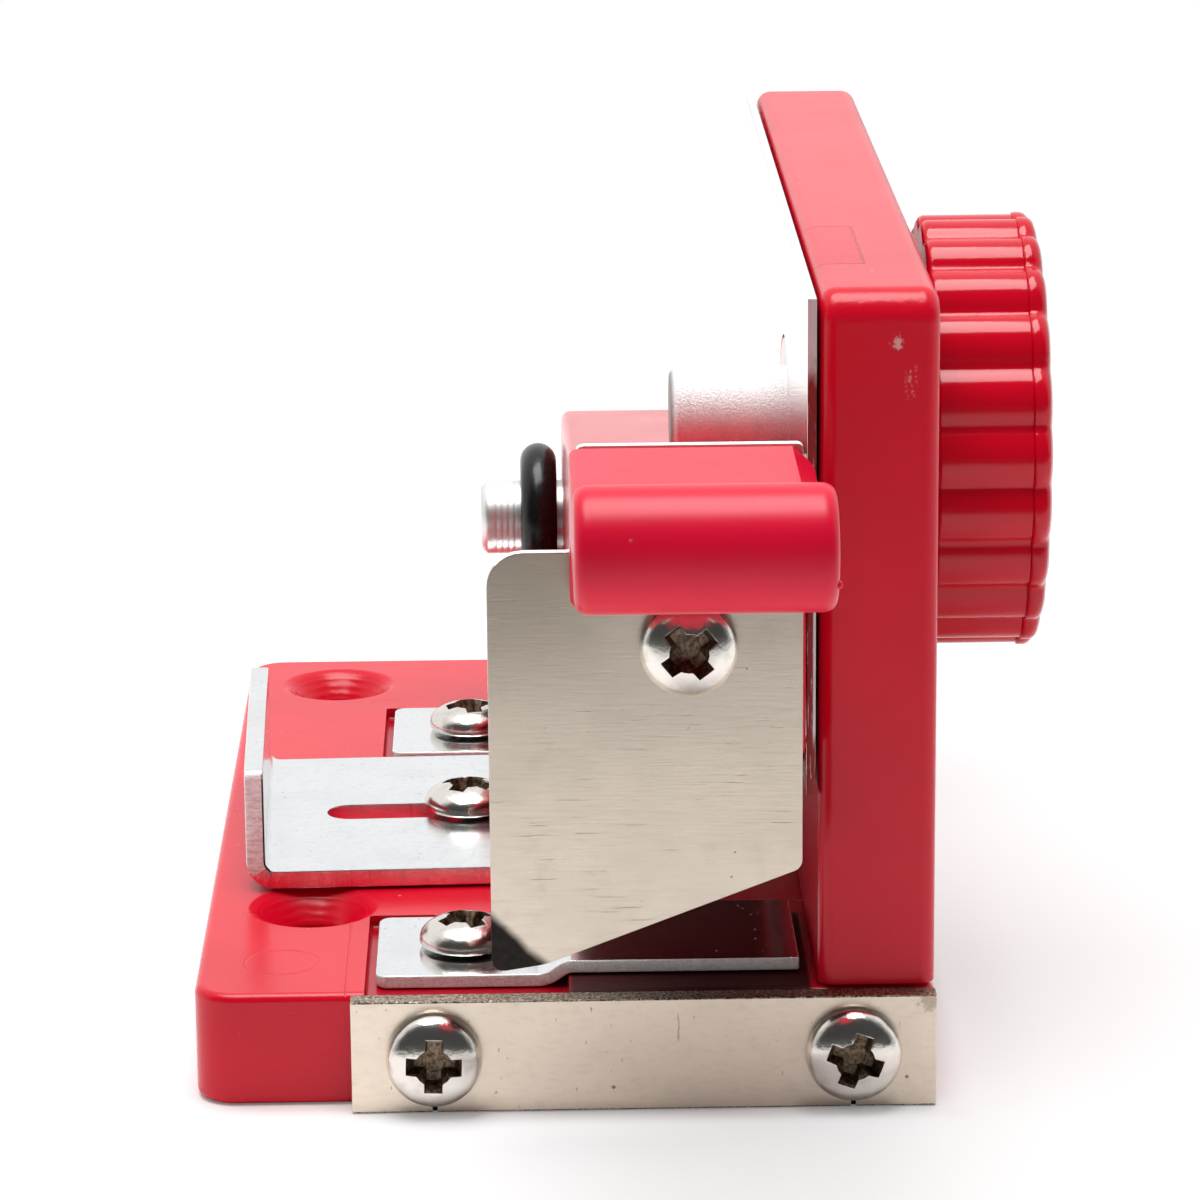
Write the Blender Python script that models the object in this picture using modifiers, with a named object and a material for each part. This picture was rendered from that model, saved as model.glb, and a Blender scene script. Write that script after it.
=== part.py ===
"""Desk fringer for quilling paper: a hinged lever with a sheet blade that shears past a fixed strap.

Metres, +Z up. The origin is the centre of the base plate's underside, the near (blade) end faces -Y
and the upright wall stands along the +X side. Every length is a named value.
"""

import math

import bmesh
import bpy
from mathutils import Matrix, Vector

mm = 0.001
TURN = 2.0 * math.pi

# Clearances shared by everything that seats or runs
seat_gap = 0.25 * mm
running_gap = 0.25 * mm
cut_overrun = 1.0 * mm
merge_distance = 0.02 * mm
flat_angle = math.radians(0.5)

# Base plate
base_width = 63.5 * mm
base_length = 105.0 * mm
base_thickness = 10.0 * mm
base_corner_radius = 3.5 * mm
base_edge_radius = 0.7 * mm
bench_hole_diameter = 6.0 * mm
bench_dish_diameter = 11.0 * mm
bench_dish_depth = 2.4 * mm
bench_hole_edge_inset = 9.5 * mm
bench_hole_near_inset = 23.5 * mm

# Upright wall and the bright sheet on its inner face
wall_thickness = 10.0 * mm
wall_height = 60.25 * mm
wall_edge_radius = 1.4 * mm
face_sheet_thickness = 0.8 * mm
face_sheet_bottom = 27.0 * mm
face_sheet_inset = 0.6 * mm
wall_screw_inset = 16.5 * mm
wall_screw_length = 24.0 * mm

# Pan-head screw used on every sheet part
pan_head_diameter = 8.2 * mm
pan_head_height = 2.8 * mm
pan_rim_height = 0.7 * mm
pan_shank_diameter = 3.8 * mm
plate_screw_length = 7.0 * mm
blade_screw_length = 12.0 * mm

# Fixed lower blade: a strap on the near end face
strap_length = 50.0 * mm
strap_thickness = 2.0 * mm
strap_screw_inset = 7.1 * mm
strap_screw_length = 12.0 * mm
strap_slit_width = 1.0 * mm

# Paper hold-down plates, each with a low screwed part and a raised part that bridges the paper
hold_down_thickness = 1.0 * mm
hold_down_reach = 37.95 * mm
hold_down_width = 15.8 * mm
hold_down_near_inset = 4.0 * mm
hold_down_far_inset = 18.9 * mm
hold_down_low_width = 14.55 * mm
hold_down_joggle_run = 1.8 * mm
hold_down_rise = 1.2 * mm
hold_down_corner_radius = 1.6 * mm
recess_depth = 1.1 * mm
recess_margin = 0.9 * mm
recess_joggle_gap = 0.3 * mm
plate_screw_inset = 7.75 * mm

# Adjustable strip guide: an angle that slides across under its screw
guide_thickness = 1.7 * mm
guide_reach = 50.75 * mm
guide_width = 28.4 * mm
guide_length = 35.0 * mm
guide_offset = 0.8 * mm
guide_flange_height = 11.2 * mm
guide_bend_radius = 2.6 * mm
guide_corner_radius = 1.0 * mm
guide_slot_width = 4.4 * mm
guide_slot_inset = 7.3 * mm
guide_slot_length = 17.5 * mm
guide_screw_inset = 4.25 * mm
guide_turn_deg = 1.8

# Lever: pivot shaft through the wall, arm, handle
pivot_inset = 17.0 * mm
pivot_height = 29.7 * mm
shaft_diameter = 7.4 * mm
shaft_reach = 28.9 * mm
shaft_chamfer = 0.5 * mm
shaft_seat_depth = 7.5 * mm
shaft_screw_length = 12.0 * mm
ring_section = 3.65 * mm
ring_running_gap = 0.15 * mm
ring_arm_gap = 0.6 * mm
hub_radius = 10.7 * mm
arm_width = 19.2 * mm
arm_face_gap = 0.35 * mm
arm_front_height = 22.8 * mm
arm_chamfer = 0.8 * mm

# Moving blade: sheet screwed on the arm's front end
blade_thickness = 1.0 * mm
blade_strap_clearance = 0.35 * mm
blade_width = 26.1 * mm
blade_right_gap = 0.35 * mm
blade_neck_rise = 4.55 * mm
blade_shoulder_drop = 4.4 * mm
blade_tip_rise = 3.9 * mm
blade_right_rise = 8.9 * mm
blade_point_width = 4.5 * mm
blade_point_rise = 0.7 * mm
blade_shoulder_radius = 3.0 * mm
blade_small_radius = 1.0 * mm
blade_screw_reach = 9.85 * mm
blade_screw_drop = 12.45 * mm
lever_travel_deg = 7.0

# Handle: a flange over the blade's neck, a flat root and a round bar
handle_overhang = 0.4 * mm
handle_width = 20.0 * mm
handle_flange_thickness = 3.4 * mm
handle_flange_height = 12.5 * mm
handle_root_thickness = 7.0 * mm
handle_bar_radius = 4.95 * mm
handle_bar_reach = 29.0 * mm
handle_bar_drop = 1.2 * mm
handle_bar_flat_deg = 225.0
handle_under_meet_deg = 300.0
handle_edge_radius = 0.7 * mm
handle_right_chamfer = 1.75 * mm
handle_screw_spacing = 9.5 * mm
handle_screw_drop = 9.9 * mm
handle_screw_head = 5.0 * mm
handle_screw_head_height = 1.8 * mm
handle_screw_shank = 2.8 * mm
handle_screw_length = 13.0 * mm

# Return spring, wound round the shaft inside the hub
spring_wire = 1.2 * mm
spring_mean_radius = 6.5 * mm
spring_turns = 5
spring_points_per_turn = 10
spring_coil_gap = 0.5 * mm
spring_pocket_depth = 10.4 * mm
spring_pocket_radius = 7.6 * mm
spring_leg_length = 2.8 * mm
spring_leg_clearance = 1.3 * mm
spring_bend_radius = 1.3 * mm

# Adjusting knob, its spindle and the eccentric stop pin
knob_axis_inset = 34.5 * mm
knob_axis_height = 50.8 * mm
knob_radius = 19.5 * mm
knob_width = 10.2 * mm
knob_wall_gap = 1.0 * mm
knob_rim_width = 1.6 * mm
knob_rim_step = 0.2 * mm
knob_edge_radius = 0.5 * mm
knob_flutes = 22
knob_flute_depth = 1.0 * mm
knob_flute_lead_share = 0.183
knob_points_per_flute = 6
knob_dish_radius = 13.5 * mm
knob_dish_depth = 4.2 * mm
knob_dish_taper = 1.2 * mm
spindle_flange_diameter = 17.0 * mm
spindle_flange_thickness = 4.0 * mm
spindle_neck_diameter = 9.0 * mm
washer_diameter = 16.0 * mm
washer_thickness = 0.5 * mm
knob_screw_length = 9.0 * mm
stop_pin_diameter = 8.0 * mm
stop_pin_reach = 10.45 * mm
stop_pin_chamfer = 0.6 * mm
stop_pin_offset_y = 3.0 * mm
stop_pin_offset_z = 2.7 * mm
stop_pin_seat_depth = 3.0 * mm
stop_gap = 0.28 * mm

# Places worked out from the sizes above
near_y = -base_length / 2
far_y = base_length / 2
right_x = base_width / 2
wall_x = right_x - wall_thickness
wall_bottom = base_thickness + seat_gap
wall_top = wall_bottom + wall_height
face_x = wall_x - seat_gap - face_sheet_thickness
arm_right = face_x - arm_face_gap
arm_left = arm_right - arm_width
arm_centre_x = arm_right - arm_width / 2
pivot_y = far_y - pivot_inset
strap_front_y = near_y - seat_gap - strap_thickness
knob_axis_y = near_y + knob_axis_inset
recess_floor = base_thickness - recess_depth
plate_bottom = recess_floor + seat_gap
plate_top = plate_bottom + hold_down_thickness
guide_bottom = base_thickness + seat_gap
guide_top = guide_bottom + guide_thickness
hold_down_left = wall_x - hold_down_reach
hold_down_joggle_start = hold_down_left + hold_down_low_width
plate_screw_x = hold_down_left + plate_screw_inset
guide_left = wall_x - guide_reach
guide_right = guide_left + guide_width
guide_slot_left = guide_left + guide_slot_inset
guide_slot_right = guide_slot_left + guide_slot_length
guide_screw_x = guide_slot_right - guide_screw_inset
shaft_tip_x = wall_x - shaft_reach
stop_pin_tip_x = face_x - stop_pin_reach
stop_pin_y = knob_axis_y - stop_pin_offset_y
stop_pin_z = knob_axis_height + stop_pin_offset_z
blade_right = arm_right - blade_right_gap
blade_left = blade_right - blade_width
blade_screw_x = arm_right - blade_screw_reach
blade_tip_z = base_thickness + blade_tip_rise
handle_left = arm_left - handle_overhang
travel = math.radians(lever_travel_deg)


def blade_back_y():
    """Furthest-in place of the blade whose tip still clears the strap at the end of the travel."""
    tip_drop = pivot_height - blade_tip_z
    limit = strap_front_y - blade_strap_clearance
    reach = (pivot_y - limit + tip_drop * math.sin(travel)) / math.cos(travel)
    return pivot_y - reach


def arm_slope():
    """Slope of the arm's top when it lies just under the stop pin: its line is tangent to the hub."""
    run = pivot_y - stop_pin_y
    rise = stop_pin_z - pivot_height
    clear = hub_radius + stop_gap + stop_pin_diameter / 2
    return math.acos(clear / math.hypot(run, rise)) - math.atan2(run, rise)


slope = arm_slope()
blade_back = blade_back_y()
blade_front = blade_back - blade_thickness
arm_front_y = blade_back + seat_gap
arm_front_top = pivot_height + hub_radius / math.cos(slope) + (pivot_y - arm_front_y) * math.tan(slope)
arm_front_bottom = arm_front_top - arm_front_height
blade_neck_top = arm_front_top + blade_neck_rise
blade_shoulder_top = arm_front_top - blade_shoulder_drop
blade_screw_z = arm_front_top - blade_screw_drop
handle_back_y = blade_front - seat_gap
handle_top = blade_neck_top
handle_flange_bottom = handle_top - handle_flange_height
handle_bar_centre_z = handle_top - handle_bar_drop
handle_screw_z = handle_top - handle_screw_drop
handle_seat_y = handle_back_y - handle_flange_thickness
handle_middle_x = handle_left + handle_width / 2
handle_screw_xs = (
    handle_middle_x - handle_screw_spacing / 2,
    handle_middle_x + handle_screw_spacing / 2,
)


# Scene and materials


def clear_scene():
    for item in list(bpy.data.objects):
        bpy.data.objects.remove(item, do_unlink=True)


def new_collection(name):
    collection = bpy.data.collections.new(name)
    bpy.context.scene.collection.children.link(collection)
    return collection


def material(name, colour, roughness, metallic):
    result = bpy.data.materials.new(name)
    result.use_nodes = True
    shader = result.node_tree.nodes["Principled BSDF"]
    shader.inputs["Base Color"].default_value = (*colour, 1.0)
    shader.inputs["Roughness"].default_value = roughness
    shader.inputs["Metallic"].default_value = metallic
    return result


clear_scene()
parts = new_collection("Quilling fringer")
cutters = new_collection("Cutters")


# Small tools for making and placing shapes


def link(item, collection):
    for old in list(item.users_collection):
        old.objects.unlink(item)
    collection.objects.link(item)


def finish(item, name, look, angle_deg=35.0):
    """Name a piece, give it its material and shade its round faces smooth."""
    item.name = name
    item.data.name = name
    item.data.materials.clear()
    item.data.materials.append(look)
    item.data.shade_smooth()
    item.data.set_sharp_from_angle(angle=math.radians(angle_deg))
    link(item, parts)
    return item


def as_cutter(item, name):
    item.name = name
    item.hide_render = True
    item.display_type = "WIRE"
    link(item, cutters)
    return item


def empty(name, place):
    item = bpy.data.objects.new(name, None)
    item.location = place
    item.empty_display_size = base_thickness
    parts.objects.link(item)
    return item


def ride_on(item, parent):
    """Parent a piece to an axis empty and keep it where it is."""
    item.parent = parent
    item.location = Vector(item.location) - Vector(parent.location)


def to_mesh(curve_object):
    """Turn a curve object into a welded mesh object at the same place."""
    depsgraph = bpy.context.evaluated_depsgraph_get()
    mesh = bpy.data.meshes.new_from_object(curve_object.evaluated_get(depsgraph))
    shape = bmesh.new()
    shape.from_mesh(mesh)
    bmesh.ops.remove_doubles(shape, verts=shape.verts, dist=merge_distance)
    if curve_object.data.dimensions == "2D":
        bmesh.ops.dissolve_limit(
            shape, angle_limit=flat_angle, verts=shape.verts, edges=shape.edges, delimit={"NORMAL"}
        )
    shape.to_mesh(mesh)
    shape.free()
    item = bpy.data.objects.new(curve_object.name, mesh)
    item.matrix_world = curve_object.matrix_world
    bpy.context.scene.collection.objects.link(item)
    bpy.data.objects.remove(curve_object, do_unlink=True)
    return item


def box(size, centre):
    bpy.ops.mesh.primitive_cube_add(size=1.0, location=centre)
    item = bpy.context.object
    item.scale = size
    bpy.ops.object.transform_apply(location=False, rotation=False, scale=True)
    return item


def box_between(low, high):
    size = [b - a for a, b in zip(low, high)]
    centre = [(a + b) / 2 for a, b in zip(low, high)]
    return box(size, centre)


AXIS_TURNS = {"X": (0.0, math.pi / 2, 0.0), "Y": (-math.pi / 2, 0.0, 0.0), "Z": (0.0, 0.0, 0.0)}


def cylinder(diameter, start, length, axis, sides=32):
    """Cylinder that starts at a point and runs along +axis."""
    middle = Vector(start)
    middle["XYZ".index(axis)] += length / 2
    bpy.ops.mesh.primitive_cylinder_add(
        vertices=sides, radius=diameter / 2, depth=length, location=middle, rotation=AXIS_TURNS[axis]
    )
    return bpy.context.object


def turned(profile, place, rotation, sides=32):
    """Revolve a profile of (radius, height) points, listed top to bottom, round local Z."""
    mesh = bpy.data.meshes.new("profile")
    points = [(radius, 0.0, height) for radius, height in profile]
    edges = [(i, i + 1) for i in range(len(points) - 1)]
    mesh.from_pydata(points, edges, [])
    item = bpy.data.objects.new("profile", mesh)
    bpy.context.scene.collection.objects.link(item)
    item.location = place
    item.rotation_euler = rotation
    screw = item.modifiers.new("Turn", "SCREW")
    screw.steps = sides
    screw.render_steps = sides
    screw.use_merge_vertices = True
    screw.merge_threshold = merge_distance
    return apply_modifiers(item)


def apply_modifiers(item):
    """Bake the modifiers so that later cuts work on a plain mesh."""
    depsgraph = bpy.context.evaluated_depsgraph_get()
    mesh = bpy.data.meshes.new_from_object(item.evaluated_get(depsgraph))
    item.modifiers.clear()
    item.data = mesh
    return item


def turn_flat(item, place, angle):
    """Turn a piece about the upright line through a place, cuts and all."""
    bpy.context.view_layer.update()
    apply_modifiers(item)
    turn = Matrix.Rotation(angle, 3, "Z")
    item.location = Vector(place) + turn @ (Vector(item.location) - Vector(place))
    item.rotation_euler.z += angle


def arc(centre, radius, start_deg, end_deg, steps):
    """Points along an arc, both ends included."""
    points = []
    for i in range(steps + 1):
        angle = math.radians(start_deg + (end_deg - start_deg) * i / steps)
        points.append((centre[0] + radius * math.cos(angle), centre[1] + radius * math.sin(angle)))
    return points


def round_corners(corners, steps=5):
    """Outline through (x, y, radius) corners with each corner rounded by its own radius."""
    outline = []
    count = len(corners)
    for i, (x, y, radius) in enumerate(corners):
        here = Vector((x, y))
        before = Vector(corners[i - 1][:2])
        after = Vector(corners[(i + 1) % count][:2])
        if radius <= 0.0:
            outline.append((x, y))
            continue
        back = (before - here).normalized()
        ahead = (after - here).normalized()
        half = back.angle(ahead) / 2
        reach = radius / math.tan(half)
        first = here + back * reach
        last = here + ahead * reach
        centre = here + (back + ahead).normalized() * (radius / math.sin(half))
        start = first - centre
        sweep = math.pi - 2 * half
        side = 1.0 if back.x * ahead.y - back.y * ahead.x < 0.0 else -1.0
        for k in range(steps + 1):
            turn = Matrix.Rotation(side * sweep * k / steps, 2)
            point = centre + turn @ start
            outline.append((point.x, point.y))
        outline[-1] = (last.x, last.y)
    return outline


def flat_piece(outline, thickness, place, rotation, holes=()):
    """Plate from a closed outline and optional hole outlines, centred on its thickness."""
    curve = bpy.data.curves.new("outline", "CURVE")
    curve.dimensions = "2D"
    curve.fill_mode = "BOTH"
    curve.extrude = thickness / 2
    for points in (outline, *holes):
        spline = curve.splines.new("POLY")
        spline.points.add(len(points) - 1)
        for point, (x, y) in zip(spline.points, points):
            point.co = (x, y, 0.0, 1.0)
        spline.use_cyclic_u = True
    item = bpy.data.objects.new("outline", curve)
    item.location = place
    item.rotation_euler = rotation
    bpy.context.scene.collection.objects.link(item)
    bpy.context.view_layer.update()
    return to_mesh(item)


def stacked_piece(layers, place, rotation):
    """Solid through a stack of (outline, height) layers whose outlines have the same count of points."""
    shape = bmesh.new()
    rings = []
    for outline, height in layers:
        rings.append([shape.verts.new((x, y, height)) for x, y in outline])
    count = len(rings[0])
    for low, high in zip(rings, rings[1:]):
        for i in range(count):
            k = (i + 1) % count
            shape.faces.new((low[i], low[k], high[k], high[i]))
    shape.faces.new(list(reversed(rings[0])))
    shape.faces.new(rings[-1])
    mesh = bpy.data.meshes.new("stack")
    shape.to_mesh(mesh)
    shape.free()
    item = bpy.data.objects.new("stack", mesh)
    item.location = place
    item.rotation_euler = rotation
    bpy.context.scene.collection.objects.link(item)
    return item


SIDE_VIEW = (math.pi / 2, 0.0, math.pi / 2)
FRONT_VIEW = (math.pi / 2, 0.0, 0.0)


def cut(target, *tools):
    for tool in tools:
        as_cutter(tool, f"{target.name} cutter")
        modifier = target.modifiers.new("Cut", "BOOLEAN")
        modifier.operation = "DIFFERENCE"
        modifier.solver = "EXACT"
        modifier.object = tool


def keep_within(target, tool):
    """Trim a piece to the space inside a tool."""
    as_cutter(tool, f"{target.name} trim")
    modifier = target.modifiers.new("Trim", "BOOLEAN")
    modifier.operation = "INTERSECT"
    modifier.solver = "EXACT"
    modifier.object = tool


def round_edges(item, width, segments=2, angle_deg=50.0):
    modifier = item.modifiers.new("Round", "BEVEL")
    modifier.width = width
    modifier.segments = segments
    modifier.limit_method = "ANGLE"
    modifier.angle_limit = math.radians(angle_deg)
    modifier.use_clamp_overlap = True


# Materials

red_plastic = material("Red plastic", (0.62, 0.01, 0.035), 0.22, 0.0)
nickel = material("Nickel plate", (0.62, 0.58, 0.52), 0.25, 1.0)
zinc = material("Bright zinc", (0.74, 0.77, 0.79), 0.3, 1.0)
mirror = material("Polished sheet", (0.85, 0.85, 0.86), 0.08, 1.0)
blade_steel = material("Blade steel", (0.47, 0.44, 0.38), 0.4, 1.0)
shaft_steel = material("Shaft steel", (0.66, 0.65, 0.64), 0.28, 1.0)
pin_steel = material("Pin steel", (0.66, 0.65, 0.64), 0.45, 1.0)
rubber = material("Black rubber", (0.012, 0.012, 0.012), 0.45, 0.0)
spring_steel = material("Spring steel", (0.5, 0.5, 0.5), 0.35, 1.0)


# Fasteners


def screw_profile(head_diameter, head_height, rim_height, shank_diameter, length):
    """Half section of a pan-head screw: head above local Z zero, shank below."""
    head_radius = head_diameter / 2
    dome = head_height - rim_height
    profile = [(0.0, head_height)]
    for step in (1, 2, 3, 4):
        angle = math.radians(90.0 * step / 4)
        profile.append((head_radius * math.sin(angle), rim_height + dome * math.cos(angle)))
    shank_radius = shank_diameter / 2
    point = shank_radius / 2
    profile += [
        (head_radius, seat_gap),
        (shank_radius, seat_gap),
        (shank_radius, point - length),
        (shank_radius - point, -length),
        (0.0, -length),
    ]
    return profile


def pan_screw(seat, rotation, length, shank=pan_shank_diameter, head=pan_head_diameter,
              head_height=pan_head_height, rim=pan_rim_height, sides=24):
    """Screw whose head seats at a point; local Z is the way the head faces."""
    profile = screw_profile(head, head_height, rim, shank, length)
    return turned(profile, seat, rotation, sides)


HEAD_UP = (0.0, 0.0, 0.0)
HEAD_NEAR = (math.pi / 2, 0.0, 0.0)
HEAD_RIGHT = (0.0, math.pi / 2, 0.0)
HEAD_DOWN = (math.pi, 0.0, 0.0)


def screw_hole(seat, direction, length, diameter=pan_shank_diameter):
    """Clearance hole for a screw's shank, along a row axis such as '-Z'."""
    axis = direction[1]
    sign = -1.0 if direction[0] == "-" else 1.0
    start = Vector(seat)
    index = "XYZ".index(axis)
    depth = length + 2 * cut_overrun
    if sign < 0:
        start[index] += cut_overrun - depth
    else:
        start[index] -= cut_overrun
    return cylinder(diameter + 2 * running_gap, start, depth, axis, sides=20)


# Where the hold-down plates and their screws stand

near_plate_low = near_y + hold_down_near_inset
far_plate_high = far_y - hold_down_far_inset
plate_rows = {
    "near_hold_down": (near_plate_low, near_plate_low + hold_down_width),
    "far_hold_down": (far_plate_high - hold_down_width, far_plate_high),
}


def row_middle(row):
    return (row[0] + row[1]) / 2


plate_screw_ys = [row_middle(row) for row in plate_rows.values()]
strap_left = right_x - strap_length
strap_screw_xs = (strap_left + strap_screw_inset, right_x - strap_screw_inset)
wall_screw_x = wall_x + wall_thickness / 2
wall_screw_ys = (near_y + wall_screw_inset, 0.0, far_y - wall_screw_inset)
guide_centre_y = (plate_rows["near_hold_down"][1] + plate_rows["far_hold_down"][0]) / 2 + guide_offset
bench_hole_x = -right_x + bench_hole_edge_inset
bench_hole_ys = (near_y + bench_hole_near_inset, far_y - bench_hole_edge_inset)


def make_base_plate():
    """Moulded plate with recesses for the hold-downs and two dished bench holes."""
    half_x = base_width / 2
    half_y = base_length / 2
    corners = [
        (-half_x, -half_y, base_corner_radius),
        (half_x, -half_y, wall_edge_radius),
        (half_x, half_y, wall_edge_radius),
        (-half_x, half_y, base_corner_radius),
    ]
    plate = flat_piece(round_corners(corners), base_thickness, (0.0, 0.0, base_thickness / 2), (0, 0, 0))
    round_edges(plate, base_edge_radius, angle_deg=60.0)
    finish(plate, "base_plate", red_plastic)

    recess_right = hold_down_joggle_start + hold_down_joggle_run + recess_joggle_gap
    recess_left = hold_down_left - recess_margin
    near_low, near_high = plate_rows["near_hold_down"]
    far_low, far_high = plate_rows["far_hold_down"]
    top = base_thickness + cut_overrun
    near_recess = box_between(
        (recess_left, near_y - cut_overrun, recess_floor), (recess_right, near_high + recess_margin, top)
    )
    far_recess = box_between(
        (recess_left, far_low - recess_margin, recess_floor), (recess_right, far_high + recess_margin, top)
    )
    cut(plate, near_recess, far_recess)

    dish_radius = bench_dish_diameter / 2
    hole_radius = bench_hole_diameter / 2
    for y in bench_hole_ys:
        hole = turned(
            [
                (0.0, cut_overrun),
                (dish_radius + cut_overrun * (dish_radius - hole_radius) / bench_dish_depth, cut_overrun),
                (hole_radius, -bench_dish_depth),
                (hole_radius, -base_thickness - cut_overrun),
                (0.0, -base_thickness - cut_overrun),
            ],
            (bench_hole_x, y, base_thickness),
            (0, 0, 0),
            24,
        )
        cut(plate, hole)

    for y in plate_screw_ys:
        cut(plate, screw_hole((plate_screw_x, y, plate_top), "-Z", plate_screw_length))
    cut(plate, screw_hole((guide_screw_x, guide_centre_y, guide_top), "-Z", plate_screw_length))
    for x in strap_screw_xs:
        cut(plate, screw_hole((x, strap_front_y, base_thickness / 2), "+Y", strap_screw_length))
    sink_radius = pan_head_diameter / 2 + running_gap
    shank_radius = pan_shank_diameter / 2 + running_gap
    for y in wall_screw_ys:
        sink = turned(
            [
                (0.0, cut_overrun),
                (sink_radius, cut_overrun),
                (sink_radius, -pan_head_height - 2 * seat_gap),
                (shank_radius, -pan_head_height - 2 * seat_gap),
                (shank_radius, -base_thickness - cut_overrun),
                (0.0, -base_thickness - cut_overrun),
            ],
            (wall_screw_x, y, 0.0),
            HEAD_DOWN,
            24,
        )
        cut(plate, sink)
    return plate


def make_back_plate():
    """Upright wall with bores for the pivot shaft, the knob's spindle and the base screws."""
    foot = wall_bottom - 2 * wall_edge_radius
    wall = box_between((wall_x, near_y, foot), (right_x, far_y, wall_top))
    round_edges(wall, wall_edge_radius, segments=3)
    finish(wall, "back_plate", red_plastic)
    below = box_between(
        (wall_x - cut_overrun, near_y - cut_overrun, foot - cut_overrun),
        (right_x + cut_overrun, far_y + cut_overrun, wall_bottom),
    )
    cut(wall, below)
    shaft_bore = cylinder(
        shaft_diameter + 2 * seat_gap, (wall_x - cut_overrun, pivot_y, pivot_height),
        shaft_seat_depth + seat_gap + cut_overrun, "X",
    )
    shaft_screw_bore = cylinder(
        pan_shank_diameter + 2 * running_gap, (wall_x, pivot_y, pivot_height),
        wall_thickness + cut_overrun, "X", 20,
    )
    flange_bore = cylinder(
        spindle_flange_diameter + 2 * running_gap, (wall_x - cut_overrun, knob_axis_y, knob_axis_height),
        spindle_flange_thickness + running_gap + cut_overrun, "X", 40,
    )
    neck_bore = cylinder(
        spindle_neck_diameter + 2 * running_gap, (wall_x, knob_axis_y, knob_axis_height),
        wall_thickness + cut_overrun, "X",
    )
    cut(wall, shaft_bore, shaft_screw_bore, flange_bore, neck_bore, spring_leg_hole())
    for y in wall_screw_ys:
        depth = wall_screw_length - base_thickness
        cut(wall, screw_hole((wall_screw_x, y, wall_bottom), "+Z", depth))
    return wall


def spring_leg_hole():
    """Wide hole that lets the spring's fixed leg swing with the arm's small travel."""
    diameter = spring_wire + 2 * spring_leg_clearance
    start = (face_x - cut_overrun, pivot_y, pivot_height + spring_mean_radius)
    return cylinder(diameter, start, spring_leg_length + 2 * cut_overrun, "X", 16)


def make_face_plate():
    """Bright sheet that the arm slides against."""
    sheet = box_between(
        (face_x, near_y + face_sheet_inset, face_sheet_bottom),
        (face_x + face_sheet_thickness, far_y - face_sheet_inset, wall_top - face_sheet_inset),
    )
    finish(sheet, "face_plate", mirror)
    through = face_sheet_thickness + 2 * cut_overrun
    start_x = face_x - cut_overrun
    shaft_hole = cylinder(
        shaft_diameter + 2 * running_gap, (start_x, pivot_y, pivot_height), through, "X"
    )
    spindle_hole = cylinder(
        spindle_flange_diameter + 2 * running_gap, (start_x, knob_axis_y, knob_axis_height), through, "X", 40
    )
    cut(sheet, shaft_hole, spindle_hole, spring_leg_hole())
    return sheet


def make_base_screws():
    """Screws from below hold the wall on the base."""
    length = wall_screw_length - pan_head_height - seat_gap
    for number, y in enumerate(wall_screw_ys, 1):
        screw = pan_screw((wall_screw_x, y, pan_head_height + seat_gap), HEAD_DOWN, length, sides=16)
        finish(screw, f"base_screw_{number}", nickel)


def make_fixed_blade():
    """Strap across the near end; its top edge is the fixed cutting edge."""
    centre_x = strap_left + strap_length / 2
    half_x = strap_length / 2
    half_z = base_thickness / 2
    outline = [(-half_x, -half_z), (half_x, -half_z), (half_x, half_z), (-half_x, half_z)]
    strap = flat_piece(
        outline, strap_thickness, (centre_x, strap_front_y + strap_thickness / 2, half_z), FRONT_VIEW
    )
    finish(strap, "fixed_blade", nickel)
    for x in strap_screw_xs:
        hole = screw_hole((x, strap_front_y, half_z), "+Y", strap_thickness)
        slit = box_between(
            (x - strap_slit_width / 2, strap_front_y - cut_overrun, -cut_overrun),
            (x + strap_slit_width / 2, strap_front_y + strap_thickness + cut_overrun, half_z),
        )
        cut(strap, hole, slit)
    return strap


def make_fixed_blade_screws():
    for side, x in zip(("left", "right"), strap_screw_xs):
        screw = pan_screw((x, strap_front_y, base_thickness / 2), HEAD_NEAR, strap_screw_length)
        finish(screw, f"fixed_blade_screw_{side}", nickel)


def joggled_outline():
    """Section of a hold-down plate in X and Z, from its low screwed part to its raised part."""
    step_start = hold_down_joggle_start
    step_end = step_start + hold_down_joggle_run
    right = face_x - arm_face_gap
    upper = [
        (hold_down_left, plate_top),
        (step_start, plate_top),
        (step_end, plate_top + hold_down_rise),
        (right, plate_top + hold_down_rise),
    ]
    lower = [(x, z - hold_down_thickness) for x, z in reversed(upper)]
    return lower + upper


def make_hold_down(name):
    middle_y = row_middle(plate_rows[name])
    plate = flat_piece(joggled_outline(), hold_down_width, (0.0, middle_y, 0.0), FRONT_VIEW)
    finish(plate, name, zinc)
    half = hold_down_width / 2
    right = face_x
    plan = round_corners(
        [
            (hold_down_left, -half, hold_down_corner_radius),
            (right, -half, 0.0),
            (right, half, 0.0),
            (hold_down_left, half, hold_down_corner_radius),
        ]
    )
    keep_within(plate, flat_piece(plan, base_thickness, (0.0, middle_y, plate_top), (0, 0, 0)))
    cut(plate, screw_hole((plate_screw_x, middle_y, plate_top), "-Z", hold_down_thickness))
    return plate


def make_hold_down_screws():
    for name, row in plate_rows.items():
        screw = pan_screw((plate_screw_x, row_middle(row), plate_top), HEAD_UP, plate_screw_length)
        finish(screw, f"{name}_screw", nickel)


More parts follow.
